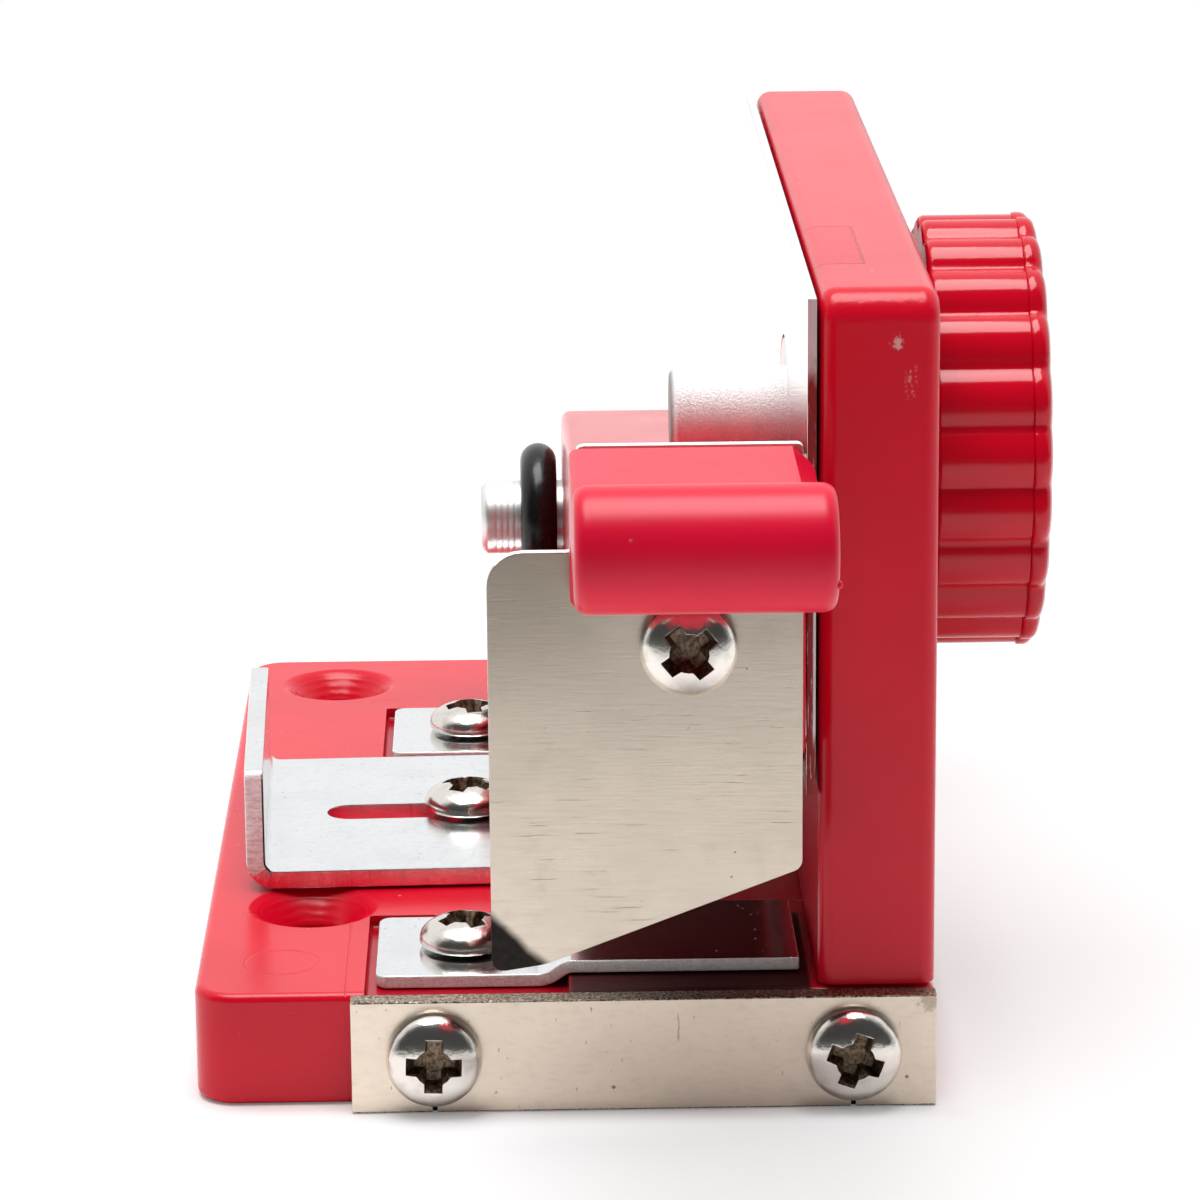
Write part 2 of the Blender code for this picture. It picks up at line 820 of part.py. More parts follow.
def guide_section():
    """Section of the angle in X and Z: flat part, bend and upright flange."""
    inner = guide_bend_radius - guide_thickness
    bend_x = guide_left + guide_bend_radius
    bend_z = guide_bottom + guide_bend_radius
    flange_top = guide_bottom + guide_flange_height
    outside = arc((bend_x, bend_z), guide_bend_radius, 180.0, 270.0, 6)
    inside = arc((bend_x, bend_z), inner, 270.0, 180.0, 4)
    section = [(guide_left, flange_top)]
    section += outside
    section += [(guide_right, guide_bottom), (guide_right, guide_top)]
    section += inside
    section += [(guide_left + guide_thickness, flange_top)]
    return section


def slot_cutter(low_x, high_x, width, centre_y, bottom, top):
    radius = width / 2
    outline = arc((high_x - radius, 0.0), radius, -90.0, 90.0, 10)
    outline += arc((low_x + radius, 0.0), radius, 90.0, 270.0, 10)
    return flat_piece(outline, top - bottom, (0.0, centre_y, (top + bottom) / 2), (0, 0, 0))


def make_strip_guide(axis):
    guide = flat_piece(guide_section(), guide_length, (0.0, guide_centre_y, 0.0), FRONT_VIEW)
    finish(guide, "strip_guide", zinc)
    half = guide_length / 2
    flange_top = guide_bottom + guide_flange_height
    side = round_corners(
        [
            (-half, 0.0, 0.0),
            (half, 0.0, 0.0),
            (half, flange_top, guide_corner_radius),
            (-half, flange_top, guide_corner_radius),
        ]
    )
    middle_x = (guide_left + guide_right) / 2
    trim_width = guide_width + 2 * cut_overrun
    keep_within(guide, flat_piece(side, trim_width, (middle_x, guide_centre_y, 0.0), SIDE_VIEW))
    cut(guide, slot_cutter(guide_slot_left, guide_slot_right, guide_slot_width, guide_centre_y,
                           guide_bottom - cut_overrun, guide_top + cut_overrun))
    turn_flat(guide, (guide_screw_x, guide_centre_y, 0.0), math.radians(guide_turn_deg))
    ride_on(guide, axis)
    return guide


def make_guide_screw():
    seat = (guide_screw_x, guide_centre_y, guide_top)
    screw = pan_screw(seat, HEAD_UP, plate_screw_length)
    finish(screw, "guide_screw", nickel)
    return screw


def make_pivot_shaft():
    """Shaft that carries the lever, fixed in the wall by a screw from outside."""
    radius = shaft_diameter / 2
    back_x = wall_x + shaft_seat_depth
    length = back_x - shaft_tip_x
    shaft = turned(
        [
            (0.0, length),
            (radius, length),
            (radius, shaft_chamfer),
            (radius - shaft_chamfer, 0.0),
            (0.0, 0.0),
        ],
        (shaft_tip_x, pivot_y, pivot_height),
        HEAD_RIGHT,
    )
    finish(shaft, "pivot_shaft", shaft_steel)
    bore_depth = shaft_screw_length - (wall_thickness - shaft_seat_depth) + seat_gap
    bore = cylinder(
        pan_shank_diameter + 2 * running_gap, (back_x - bore_depth, pivot_y, pivot_height),
        bore_depth + cut_overrun, "X", 20,
    )
    cut(shaft, bore)
    return shaft


def make_shaft_screw():
    screw = pan_screw((right_x, pivot_y, pivot_height), HEAD_RIGHT, shaft_screw_length, sides=20)
    finish(screw, "shaft_screw", nickel)
    return screw


def make_shaft_ring():
    """Rubber ring that keeps the lever from sliding off the shaft."""
    minor = ring_section / 2
    major = shaft_diameter / 2 + ring_running_gap + minor
    place = (arm_left - ring_arm_gap - minor, pivot_y, pivot_height)
    bpy.ops.mesh.primitive_torus_add(
        major_segments=32, minor_segments=12, major_radius=major, minor_radius=minor,
        location=place, rotation=HEAD_RIGHT,
    )
    return finish(bpy.context.object, "shaft_ring", rubber, 180.0)


def arm_outline():
    """Side outline of the arm in Y and Z about the pivot: a sloping bar with a round hub."""
    front = arm_front_y - pivot_y
    front_top = arm_front_top - pivot_height
    front_bottom = arm_front_bottom - pivot_height
    start_deg = 90.0 - math.degrees(slope)
    rise = front_bottom + hub_radius
    under_slope = math.degrees(math.atan2(rise, -front))
    outline = [(front, front_bottom)]
    outline += arc((0.0, 0.0), hub_radius, -90.0 - under_slope, start_deg, 20)
    outline.append((front, front_top))
    return outline


def make_lever_arm(axis):
    """Moulded arm: a bar with a round hub, a pocket for the spring and a bore for the shaft."""
    arm = flat_piece(arm_outline(), arm_width, (arm_centre_x, pivot_y, pivot_height), SIDE_VIEW)
    round_edges(arm, arm_chamfer, segments=2, angle_deg=60.0)
    finish(arm, "lever_arm", red_plastic)
    bore = cylinder(
        shaft_diameter + 2 * running_gap, (arm_left - cut_overrun, pivot_y, pivot_height),
        arm_width + 2 * cut_overrun, "X",
    )
    pocket = cylinder(
        2 * spring_pocket_radius, (arm_right - spring_pocket_depth, pivot_y, pivot_height),
        spring_pocket_depth + cut_overrun, "X",
    )
    leg_hole = cylinder(
        spring_wire + 2 * running_gap,
        (arm_right - spring_pocket_depth - spring_leg_length, pivot_y, pivot_height + spring_mean_radius),
        spring_leg_length + cut_overrun, "X", 12,
    )
    blade_screw_bore = screw_hole(
        (blade_screw_x, blade_front, blade_screw_z), "+Y", blade_screw_length
    )
    cut(arm, bore, pocket, leg_hole, blade_screw_bore)
    for x in handle_screw_xs:
        cut(arm, screw_hole((x, handle_seat_y, handle_screw_z), "+Y", handle_screw_length,
                            handle_screw_shank))
    ride_on(arm, axis)
    return arm


def blade_outline():
    left = blade_left
    return round_corners(
        [
            (left, blade_tip_z, blade_small_radius),
            (left + blade_point_width, blade_tip_z + blade_point_rise, 0.0),
            (blade_right, blade_tip_z + blade_right_rise, blade_small_radius),
            (blade_right, blade_neck_top, blade_small_radius / 2),
            (arm_left, blade_neck_top, blade_small_radius),
            (arm_left, blade_shoulder_top, blade_small_radius),
            (left, blade_shoulder_top, blade_shoulder_radius),
        ]
    )


def make_moving_blade(axis):
    middle_y = (blade_front + blade_back) / 2
    blade = flat_piece(blade_outline(), blade_thickness, (0.0, middle_y, 0.0), FRONT_VIEW)
    finish(blade, "moving_blade", blade_steel)
    cut(blade, screw_hole((blade_screw_x, blade_front, blade_screw_z), "+Y", blade_thickness))
    for x in handle_screw_xs:
        cut(blade, screw_hole((x, blade_front, handle_screw_z), "+Y", blade_thickness, handle_screw_shank))
    ride_on(blade, axis)
    return blade


def make_blade_screw(axis):
    screw = pan_screw((blade_screw_x, blade_front, blade_screw_z), HEAD_NEAR, blade_screw_length)
    finish(screw, "blade_screw", nickel)
    ride_on(screw, axis)
    return screw


def handle_outline():
    """Side outline of the handle in Y and Z: flange behind, flat root, round bar in front."""
    top = handle_top
    bar_y = handle_back_y - handle_bar_reach
    root_bottom = top - handle_root_thickness
    radius = handle_bar_radius
    meet_top = math.degrees(math.asin((top - handle_bar_centre_z) / radius))
    bar = arc((bar_y, handle_bar_centre_z), radius, meet_top, 180.0, 9)
    bar += arc((bar_y, handle_bar_centre_z), radius, 180.0, handle_bar_flat_deg, 2)[1:]
    flat_reach = radius * math.tan(math.radians((270.0 - handle_bar_flat_deg) / 2))
    bar += [(bar_y - flat_reach, handle_bar_centre_z - radius)]
    bar += arc((bar_y, handle_bar_centre_z), radius, 270.0, handle_under_meet_deg, 4)
    outline = bar
    outline += [
        (handle_seat_y, root_bottom),
        (handle_seat_y, handle_flange_bottom),
        (handle_back_y, handle_flange_bottom),
        (handle_back_y, top),
    ]
    return outline


def handle_chamfer_tool():
    """Wedge that slants the right top edge from the flange's back to the bar."""
    reach = handle_right_chamfer + cut_overrun
    right = handle_left + handle_width + cut_overrun
    top = handle_top + cut_overrun
    start_y = handle_back_y - handle_bar_reach + handle_bar_radius
    end_y = handle_back_y + cut_overrun
    wedge = [(right - reach - cut_overrun, top), (right, top - reach - cut_overrun), (right, top)]
    return flat_piece(wedge, end_y - start_y, (0.0, (start_y + end_y) / 2, 0.0), FRONT_VIEW)


def make_handle(axis):
    centre_x = handle_left + handle_width / 2
    handle = flat_piece(handle_outline(), handle_width, (centre_x, 0.0, 0.0), SIDE_VIEW)
    round_edges(handle, handle_edge_radius, segments=2, angle_deg=62.0)
    finish(handle, "handle", red_plastic)
    for x in handle_screw_xs:
        cut(handle, screw_hole((x, handle_seat_y, handle_screw_z), "+Y", handle_flange_thickness,
                               handle_screw_shank))
    cut(handle, handle_chamfer_tool())
    ride_on(handle, axis)
    return handle


def make_handle_screws(axis):
    for side, x in zip(("left", "right"), handle_screw_xs):
        screw = pan_screw(
            (x, handle_seat_y, handle_screw_z), HEAD_NEAR, handle_screw_length,
            shank=handle_screw_shank, head=handle_screw_head, head_height=handle_screw_head_height,
            sides=16,
        )
        finish(screw, f"handle_screw_{side}", nickel)
        ride_on(screw, axis)


def spring_path():
    """Wire centre line: a leg into the arm, the coil round the shaft and a leg into the wall."""
    radius = spring_mean_radius
    bend = spring_bend_radius
    pocket_floor = arm_right - spring_pocket_depth
    coil_length = (spring_wire + spring_coil_gap) * spring_turns
    start_x = pocket_floor + (spring_pocket_depth - coil_length) / 2
    end_x = start_x + coil_length
    last_angle = TURN * spring_turns
    bend_angle = bend / radius

    def on_coil(x, angle):
        return (x, pivot_y - radius * math.sin(angle), pivot_height + radius * math.cos(angle))

    half_bend = math.sqrt(0.5)
    points = [
        on_coil(pocket_floor - spring_leg_length + 2 * running_gap, 0.0),
        on_coil(start_x - bend, 0.0),
        on_coil(start_x - bend + bend * half_bend, bend_angle * (1.0 - half_bend)),
    ]
    steps = spring_turns * spring_points_per_turn
    for i in range(steps + 1):
        share = i / steps
        angle = bend_angle + (last_angle - 2 * bend_angle) * share
        points.append(on_coil(start_x + coil_length * share, angle))
    points += [
        on_coil(end_x + bend * (1.0 - half_bend), last_angle - bend_angle * (1.0 - half_bend)),
        on_coil(end_x + bend, last_angle),
        on_coil(face_x + spring_leg_length, last_angle),
    ]
    return points


def least_gap(points, wire, skip):
    """Smallest free space between stretches of a wire that aren't neighbours."""
    least = None
    for i, first in enumerate(points):
        for second in points[i + skip:]:
            distance = (Vector(first) - Vector(second)).length - wire
            if least is None or distance < least:
                least = distance
    return least


def make_return_spring(axis):
    """Torsion spring that lifts the lever."""
    path = spring_path()
    curve = bpy.data.curves.new("return_spring", "CURVE")
    curve.dimensions = "3D"
    curve.bevel_depth = spring_wire / 2
    curve.bevel_resolution = 1
    curve.use_fill_caps = True
    spline = curve.splines.new("POLY")
    spline.points.add(len(path) - 1)
    for point, place in zip(spline.points, path):
        point.co = (*place, 1.0)
    item = bpy.data.objects.new("return_spring", curve)
    bpy.context.scene.collection.objects.link(item)
    bpy.context.view_layer.update()
    spring = to_mesh(item)
    finish(spring, "return_spring", spring_steel, 60.0)
    gap = least_gap(path, spring_wire, spring_points_per_turn // 2)
    print(f"return_spring least gap {gap / mm:.2f} mm")
    ride_on(spring, axis)
    return spring


def knob_outline(radius, depth):
    """Fluted outline: convex lobes that meet in narrow valleys."""
    points = []
    count = knob_flutes * knob_points_per_flute
    for i in range(count):
        share = (i % knob_points_per_flute) / knob_points_per_flute
        lobe = math.sin(math.pi * share)
        angle = TURN * (i / count + knob_flute_lead_share / knob_flutes)
        reach = radius - depth * (1.0 - lobe)
        points.append((reach * math.cos(angle), reach * math.sin(angle)))
    return points


def make_knob(axis):
    """Fluted knob: body, slightly proud outer ring and a dished outer face."""
    inner_x = right_x + knob_wall_gap
    rim_start = knob_width - knob_rim_width
    edge = knob_rim_step
    layers = [
        (knob_outline(knob_radius - 2 * edge, knob_flute_depth), 0.0),
        (knob_outline(knob_radius - edge, knob_flute_depth), edge),
        (knob_outline(knob_radius - edge, knob_flute_depth), rim_start),
        (knob_outline(knob_radius, knob_flute_depth), rim_start + edge),
        (knob_outline(knob_radius, knob_flute_depth), knob_width - 2 * knob_edge_radius),
        (knob_outline(knob_radius - knob_edge_radius / 2, knob_flute_depth), knob_width - knob_edge_radius / 2),
        (knob_outline(knob_radius - 2 * knob_edge_radius, knob_flute_depth), knob_width),
    ]
    body = stacked_piece(layers, (inner_x, knob_axis_y, knob_axis_height), SIDE_VIEW)
    finish(body, "knob", red_plastic, 30.0)
    dish = turned(
        [
            (0.0, cut_overrun),
            (knob_dish_radius, cut_overrun),
            (knob_dish_radius, 0.0),
            (knob_dish_radius - knob_dish_taper, -knob_dish_depth),
            (0.0, -knob_dish_depth),
        ],
        (inner_x + knob_width, knob_axis_y, knob_axis_height),
        HEAD_RIGHT,
        40,
    )
    seat_bore = cylinder(
        spindle_neck_diameter + 2 * running_gap, (inner_x - cut_overrun, knob_axis_y, knob_axis_height),
        knob_socket_depth() + cut_overrun, "X",
    )
    screw_bore = cylinder(
        pan_shank_diameter + 2 * running_gap, (inner_x, knob_axis_y, knob_axis_height),
        knob_width + cut_overrun, "X", 20,
    )
    cut(body, dish, seat_bore, screw_bore)
    ride_on(body, axis)
    return body


def knob_socket_depth():
    return (knob_width - knob_dish_depth) / 2


def make_knob_spindle(axis):
    """Flanged spindle that turns in the wall; its flange carries the eccentric pin."""
    flange_radius = spindle_flange_diameter / 2
    neck_radius = spindle_neck_diameter / 2
    flange_x = wall_x - seat_gap - face_sheet_thickness
    end_x = right_x + knob_wall_gap + knob_socket_depth() - seat_gap
    length = end_x - flange_x
    flange = wall_x + spindle_flange_thickness - flange_x
    spindle = turned(
        [
            (0.0, length),
            (neck_radius, length),
            (neck_radius, flange),
            (flange_radius, flange),
            (flange_radius, 0.0),
            (0.0, 0.0),
        ],
        (flange_x, knob_axis_y, knob_axis_height),
        HEAD_RIGHT,
        40,
    )
    finish(spindle, "knob_spindle", shaft_steel)
    pin_bore = cylinder(
        stop_pin_diameter + 2 * seat_gap,
        (flange_x - cut_overrun, stop_pin_y, stop_pin_z),
        stop_pin_seat_depth + cut_overrun, "X",
    )
    bore_depth = knob_screw_length
    screw_bore = cylinder(
        pan_shank_diameter + 2 * running_gap, (end_x - bore_depth, knob_axis_y, knob_axis_height),
        bore_depth + cut_overrun, "X", 20,
    )
    cut(spindle, pin_bore, screw_bore)
    ride_on(spindle, axis)
    return spindle


def make_stop_pin(axis):
    """Eccentric pin above the arm: the lever's upper stop."""
    radius = stop_pin_diameter / 2
    end_x = face_x + stop_pin_seat_depth - seat_gap
    length = end_x - stop_pin_tip_x
    pin = turned(
        [
            (0.0, length),
            (radius, length),
            (radius, stop_pin_chamfer),
            (radius - stop_pin_chamfer, 0.0),
            (0.0, 0.0),
        ],
        (stop_pin_tip_x, stop_pin_y, stop_pin_z),
        HEAD_RIGHT,
    )
    finish(pin, "stop_pin", pin_steel)
    ride_on(pin, axis)
    return pin


def make_knob_screw(axis):
    seat_x = right_x + knob_wall_gap + knob_width - knob_dish_depth
    screw = pan_screw((seat_x, knob_axis_y, knob_axis_height), HEAD_RIGHT, knob_screw_length, sides=20)
    finish(screw, "knob_screw", nickel)
    ride_on(screw, axis)
    return screw


def make_knob_washer():
    """Thin friction washer between the wall and the knob."""
    washer = turned_ring(
        washer_diameter / 2, spindle_neck_diameter / 2 + running_gap, washer_thickness,
        (right_x + seat_gap, knob_axis_y, knob_axis_height),
    )
    return finish(washer, "knob_washer", zinc)


def turned_ring(outer, inner, thickness, place):
    """Flat ring along +X from its place, as a cylinder with a bore."""
    ring = cylinder(2 * outer, place, thickness, "X", 32)
    bore_start = (place[0] - cut_overrun, place[1], place[2])
    cut(ring, cylinder(2 * inner, bore_start, thickness + 2 * cut_overrun, "X", 32))
    return ring


lever_axis = empty("lever_axis", (0.0, pivot_y, pivot_height))
knob_axis = empty("knob_axis", (right_x, knob_axis_y, knob_axis_height))
guide_axis = empty("guide_axis", (guide_screw_x, guide_centre_y, guide_bottom))

make_base_plate()
make_back_plate()
make_face_plate()
make_base_screws()
make_fixed_blade()
make_fixed_blade_screws()
make_hold_down("near_hold_down")
make_hold_down("far_hold_down")
make_hold_down_screws()
make_guide_screw()
make_pivot_shaft()
make_shaft_screw()
make_shaft_ring()
make_knob_washer()
make_strip_guide(guide_axis)
make_lever_arm(lever_axis)
make_moving_blade(lever_axis)
make_blade_screw(lever_axis)
make_handle(lever_axis)
make_handle_screws(lever_axis)
make_return_spring(lever_axis)
make_knob(knob_axis)
make_knob_spindle(knob_axis)
make_stop_pin(knob_axis)
make_knob_screw(knob_axis)
bpy.context.view_layer.update()
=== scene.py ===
import math

import bmesh
import bpy
from mathutils import Matrix, Vector


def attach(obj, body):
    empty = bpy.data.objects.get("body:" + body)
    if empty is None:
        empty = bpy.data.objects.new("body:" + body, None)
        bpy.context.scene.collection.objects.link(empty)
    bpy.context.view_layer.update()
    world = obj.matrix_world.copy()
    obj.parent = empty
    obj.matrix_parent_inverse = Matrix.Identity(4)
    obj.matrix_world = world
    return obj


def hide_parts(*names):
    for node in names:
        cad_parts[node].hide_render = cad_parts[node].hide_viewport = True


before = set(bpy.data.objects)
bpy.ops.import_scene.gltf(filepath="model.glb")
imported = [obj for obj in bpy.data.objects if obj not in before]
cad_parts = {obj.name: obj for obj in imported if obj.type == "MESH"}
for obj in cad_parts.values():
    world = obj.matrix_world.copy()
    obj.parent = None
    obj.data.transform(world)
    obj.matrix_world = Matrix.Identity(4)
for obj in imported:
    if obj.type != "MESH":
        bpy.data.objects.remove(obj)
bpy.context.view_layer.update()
mm = 0.001
print("frame loaded:", len(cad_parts), "nodes")


class Wire:
    # a socket that can be used in sums
    def __init__(self, graph, socket):
        self.graph = graph
        self.socket = socket

    def sum(self, operation, *values):
        return self.graph.add("ShaderNodeMath", {"operation": operation}, values)

    def __add__(self, other):
        return self.sum("ADD", self, other)

    def __radd__(self, other):
        return self.sum("ADD", other, self)

    def __sub__(self, other):
        return self.sum("SUBTRACT", self, other)

    def __rsub__(self, other):
        return self.sum("SUBTRACT", other, self)

    def __mul__(self, other):
        return self.sum("MULTIPLY", self, other)

    def __rmul__(self, other):
        return self.sum("MULTIPLY", other, self)

    def __truediv__(self, other):
        return self.sum("DIVIDE", self, other)

    def __pow__(self, other):
        return self.sum("POWER", self, other)

    def __abs__(self):
        return self.sum("ABSOLUTE", self)


class Graph:
    # makes the nodes of one tree
    def __init__(self, tree):
        self.tree = tree

    def add(self, kind, settings=None, values=(), out=0):
        node = self.tree.nodes.new(kind)
        for key, value in (settings or {}).items():
            setattr(node, key, value)
        pairs = values.items() if isinstance(values, dict) else enumerate(values)
        for key, value in pairs:
            socket = node.inputs[key]
            if isinstance(value, Wire):
                self.tree.links.new(value.socket, socket)
            elif socket.type == "RGBA" and len(value) == 3:
                socket.default_value = (*value, 1.0)
            else:
                socket.default_value = value
        return Wire(self, node.outputs[out])

    def parts(self, vector):
        node = self.add("ShaderNodeSeparateXYZ", None, [vector]).socket.node
        return [Wire(self, output) for output in node.outputs]

    def ease(self, value, low, high):
        # smooth step from 0 at low to 1 at high
        values = {"Value": value, "From Min": low, "From Max": high}
        if low > high:
            values = {"Value": value, "From Min": high, "From Max": low, "To Min": 1.0, "To Max": 0.0}
        return self.add("ShaderNodeMapRange", {"interpolation_type": "SMOOTHSTEP"}, values)

    def band(self, value, middle, outer, inner):
        # 1 within inner of the middle, 0 beyond outer
        return self.ease(abs(value - middle), outer, inner)

    def away(self, x, y, centre):
        return ((x - centre[0]) ** 2.0 + (y - centre[1]) ** 2.0) ** 0.5

    def larger(self, first, second):
        return first.sum("MAXIMUM", first, second)

    def mix(self, share, first, second):
        return self.add("ShaderNodeMix", {"data_type": "RGBA"}, {"Factor": share, 6: first, 7: second}, 2)


class Finish(Graph):
    # one procedural material on a Principled shader
    def __init__(self, name, colour, roughness, metallic=0.0, shine=0.5):
        self.material = bpy.data.materials.new(name)
        self.material.use_nodes = True
        super().__init__(self.material.node_tree)
        self.shader = self.tree.nodes["Principled BSDF"]
        plain = {"Base Color": (*colour, 1.0), "Roughness": roughness, "Metallic": metallic,
                 "Specular IOR Level": shine}
        for socket, value in plain.items():
            self.shader.inputs[socket].default_value = value
        # object coordinates in millimetres
        raw = self.add("ShaderNodeTexCoord", out="Object")
        self.spot = self.add("ShaderNodeVectorMath", {"operation": "SCALE"}, {"Vector": raw, "Scale": 1000.0})
        self.relief = None

    def noise(self, scale, detail=2.0, rough=0.5):
        # scale is one number, or one each for X, Y and Z
        vector = self.spot
        if isinstance(scale, tuple):
            vector = self.add("ShaderNodeVectorMath", {"operation": "MULTIPLY"}, [vector, scale])
            scale = 1.0
        values = {"Vector": vector, "Scale": scale, "Detail": detail, "Roughness": rough}
        return self.add("ShaderNodeTexNoise", None, values, "Fac")

    def cells(self, scale):
        return self.add("ShaderNodeTexVoronoi", None, {"Vector": self.spot, "Scale": scale}, "Distance")

    def set(self, socket, value):
        self.tree.links.new(value.socket, self.shader.inputs[socket])

    def emboss(self, height, depth):
        # height is 0 to 1, depth in millimetres
        values = {"Height": height, "Distance": depth * mm}
        if self.relief is not None:
            values["Normal"] = self.relief
        self.relief = self.add("ShaderNodeBump", None, values)
        self.set("Normal", self.relief)

    def done(self, colour, rough, marks=None):
        if marks:
            colour, rough = marks(self, colour, rough)
        self.set("Base Color", colour)
        self.set("Roughness", rough)
        return self.material


base = {
    "size": (63.5, 105.0, 10.0),
    "leftCorner": 3.5,
    "rightCorner": 1.4,
    "edge": 0.75,
    "recessFloor": 8.9,
    "recessX": (-17.1, 0.45),
    "recessRows": ((-54.0, -31.8), (16.9, 33.9)),
    "benchHoles": ((-22.25, -29.0), (-22.25, 43.0)),
    "hole": 3.0,
    "dish": 5.5,
    "dishDepth": 2.4,
}

redShades = {
    "main": (0.66, 0.0018, 0.020),
    # painted shade: a darkened red for the arm's underside, standing in for the shade beneath it
    "under": (0.09, 0.0004, 0.002),
    # painted shade for the recess floors and for the base under the arm
    "paintedShade": (0.03, 0.0008, 0.0012),
    "rose": (0.72, 0.0012, 0.032),
    "deep": (0.58, 0.0014, 0.016),
    "worn": (0.86, 0.42, 0.42),
}


def redPlastic(name, smooth=0.16, marks=None, tone="main", shine=0.32):
    main = redShades[tone]
    look = Finish(name, main, smooth, shine=shine)
    broad = look.noise(0.07, 3.0)
    colour = look.mix(look.ease(broad, 0.3, 0.75), main, tuple(value * 0.88 for value in main))
    fine = look.noise(2.2, 3.0)
    dust = look.ease(look.cells(0.33), 0.075, 0.045)
    dust = dust * look.ease(look.noise(0.21), 0.56, 0.66)
    colour = look.mix(dust * 0.6, colour, redShades["worn"])
    rough = smooth - 0.04 + fine * 0.07 + broad * 0.05
    look.emboss(fine, 0.004)
    look.emboss(look.noise(0.35), 0.012)
    return look.done(colour, rough, marks)


wallMarks = {
    "insetX": (23.35, 2.85),     # faint outline of a mould insert on the top: middle and half width
    "insetY": (-31.85, 8.45),
    "line": 0.13,
    "top": (70.0, 70.3),
    "browZ": (66.5, 69.5),       # uneven skin on the rounded top of the near edge
    "browY": (-50.5, -52.0),
    "scuff": (28.1, -52.6, 66.2),
    "scuffSize": 0.72,
    "trail": (29.25, 62.9),
    "trailY": (-51.8, -52.3),
}


def wallWear(look, colour, rough):
    x, y, z = look.parts(look.spot)
    wobble = (look.noise(0.8) - 0.5) * 0.5
    middleX, halfX = wallMarks["insetX"]
    middleY, halfY = wallMarks["insetY"]
    away = look.larger(abs(x + wobble - middleX) - halfX, abs(y + wobble - middleY) - halfY)
    top = look.ease(z, *wallMarks["top"])
    line = look.ease(abs(away), wallMarks["line"], 0.02) * top
    look.emboss(1.0 - line, 0.12)
    rough = rough + look.ease(away, 0.02, -0.02) * top * 0.03
    brow = look.ease(z, *wallMarks["browZ"]) * look.ease(y, *wallMarks["browY"])
    look.emboss(look.noise(0.9, 3.0) * brow, 0.09)
    spotX, spotY, spotZ = wallMarks["scuff"]
    reach = look.away(x, z * 0.75, (spotX, spotZ * 0.75)) + abs(y - spotY) * 0.5
    grain = look.noise(3.4, 4.0, 0.7)
    scuff = look.ease(reach / wallMarks["scuffSize"] + grain * 2.4, 2.0, 1.55)
    colour = look.mix(scuff * 0.85, colour, redShades["worn"])
    trailX, trailZ = wallMarks["trail"]
    trail = look.band(x, trailX, 0.7, 0.1) * look.band(z, trailZ, 2.2, 0.5)
    trail = trail * look.ease(y, *wallMarks["trailY"])
    flecks = look.ease(grain, 0.54, 0.60) * trail
    colour = look.mix(flecks * 0.5, colour, redShades["worn"])
    look.emboss(1.0 - scuff, 0.06)
    return colour, rough + scuff * 0.3


baseMarks = {
    "top": (9.6, 9.9),
    "ring": (-24.5, -44.0),      # mark of a mould pin beside the near dish
    "ringRadius": 3.2,
    "seam": (-18.7, -43.0, 9.6, 9.2),      # short mould line along Y
    "recess": (-8.0, 9.2, 8.9),  # middle and half width in X of the recess floors, which get painted shade
    "recessZ": (9.7, 9.2),
    # painted shade: the dark strip below the raised near plate, under the arm
    "shade": ((-0.2, 0.9), (21.4, 20.9), (-32.0, -33.0), (8.5, 8.8)),
}


# mould marks and wear, with painted shade in the recesses and under the arm
def baseWearAndShade(look, colour, rough):
    x, y, z = look.parts(look.spot)
    top = look.ease(z, *baseMarks["top"])
    ring = look.away(x, y, baseMarks["ring"])
    line = look.band(ring, baseMarks["ringRadius"], 0.16, 0.03) * top
    look.emboss(1.0 - line, 0.02)
    # turned marks in the two dishes
    for centre in base["benchHoles"]:
        reach = look.away(x, y, centre)
        patchy = look.noise(0.5, 3.0)
        wave = look.add("ShaderNodeMath", {"operation": "SINE"}, [reach * 12.0 + patchy * 5.0])
        look.emboss(wave * patchy * look.ease(reach, base["dish"], base["dish"] - 0.8), 0.018)
    # painted shade on the recess floors
    low = look.ease(z, *baseMarks["recessZ"]) * look.band(x, *baseMarks["recess"])
    colour = look.mix(low * 0.45, colour, redShades["paintedShade"])
    # painted shade on the base under the arm's front, around the raised near plate
    left, right, far, lowest = baseMarks["shade"]
    shadedStrip = look.ease(x, *left) * look.ease(x, *right) * look.ease(y, *far) * look.ease(z, *lowest)
    colour = look.mix(shadedStrip * 0.97, colour, redShades["paintedShade"])
    rough = rough + shadedStrip * 0.4
    seamX, *alongY = baseMarks["seam"]
    seam = look.band(x, seamX, 0.12, 0.03) * look.band(y, *alongY) * top
    look.emboss(1.0 - seam, 0.03)
    smear = look.noise((0.1, 0.5, 0.5), 3.0)
    return colour, rough + look.ease(smear, 0.55, 0.8) * 0.05


def sheetMetal(name, colour, roughness, grain, speck=None, marks=None, depth=0.004):
    # rolled or plated sheet; grain is (x, y, z) scales of the fine lines
    look = Finish(name, colour, roughness, 1.0)
    lines = look.noise(grain, 4.0, 0.6)
    cloud = look.noise(0.16, 3.0)
    dark = tuple(c * 0.78 for c in colour)
    shade = look.mix(look.ease(cloud, 0.35, 0.8) * 0.35, colour, dark)
    shade = look.mix(look.ease(lines, 0.45, 0.75) * 0.35, shade, dark)
    rough = roughness - 0.06 + lines * 0.12
    look.emboss(lines, depth)
    if speck:
        size, share, tone = speck
        pits = look.ease(look.cells(size), 0.11, 0.05)
        pits = pits * look.ease(look.noise(size * 0.37, 1.0), share, share + 0.05)
        shade = look.mix(pits * 0.8, shade, tone)
        look.emboss(1.0 - pits, 0.02)
    return look.done(shade, rough, marks)


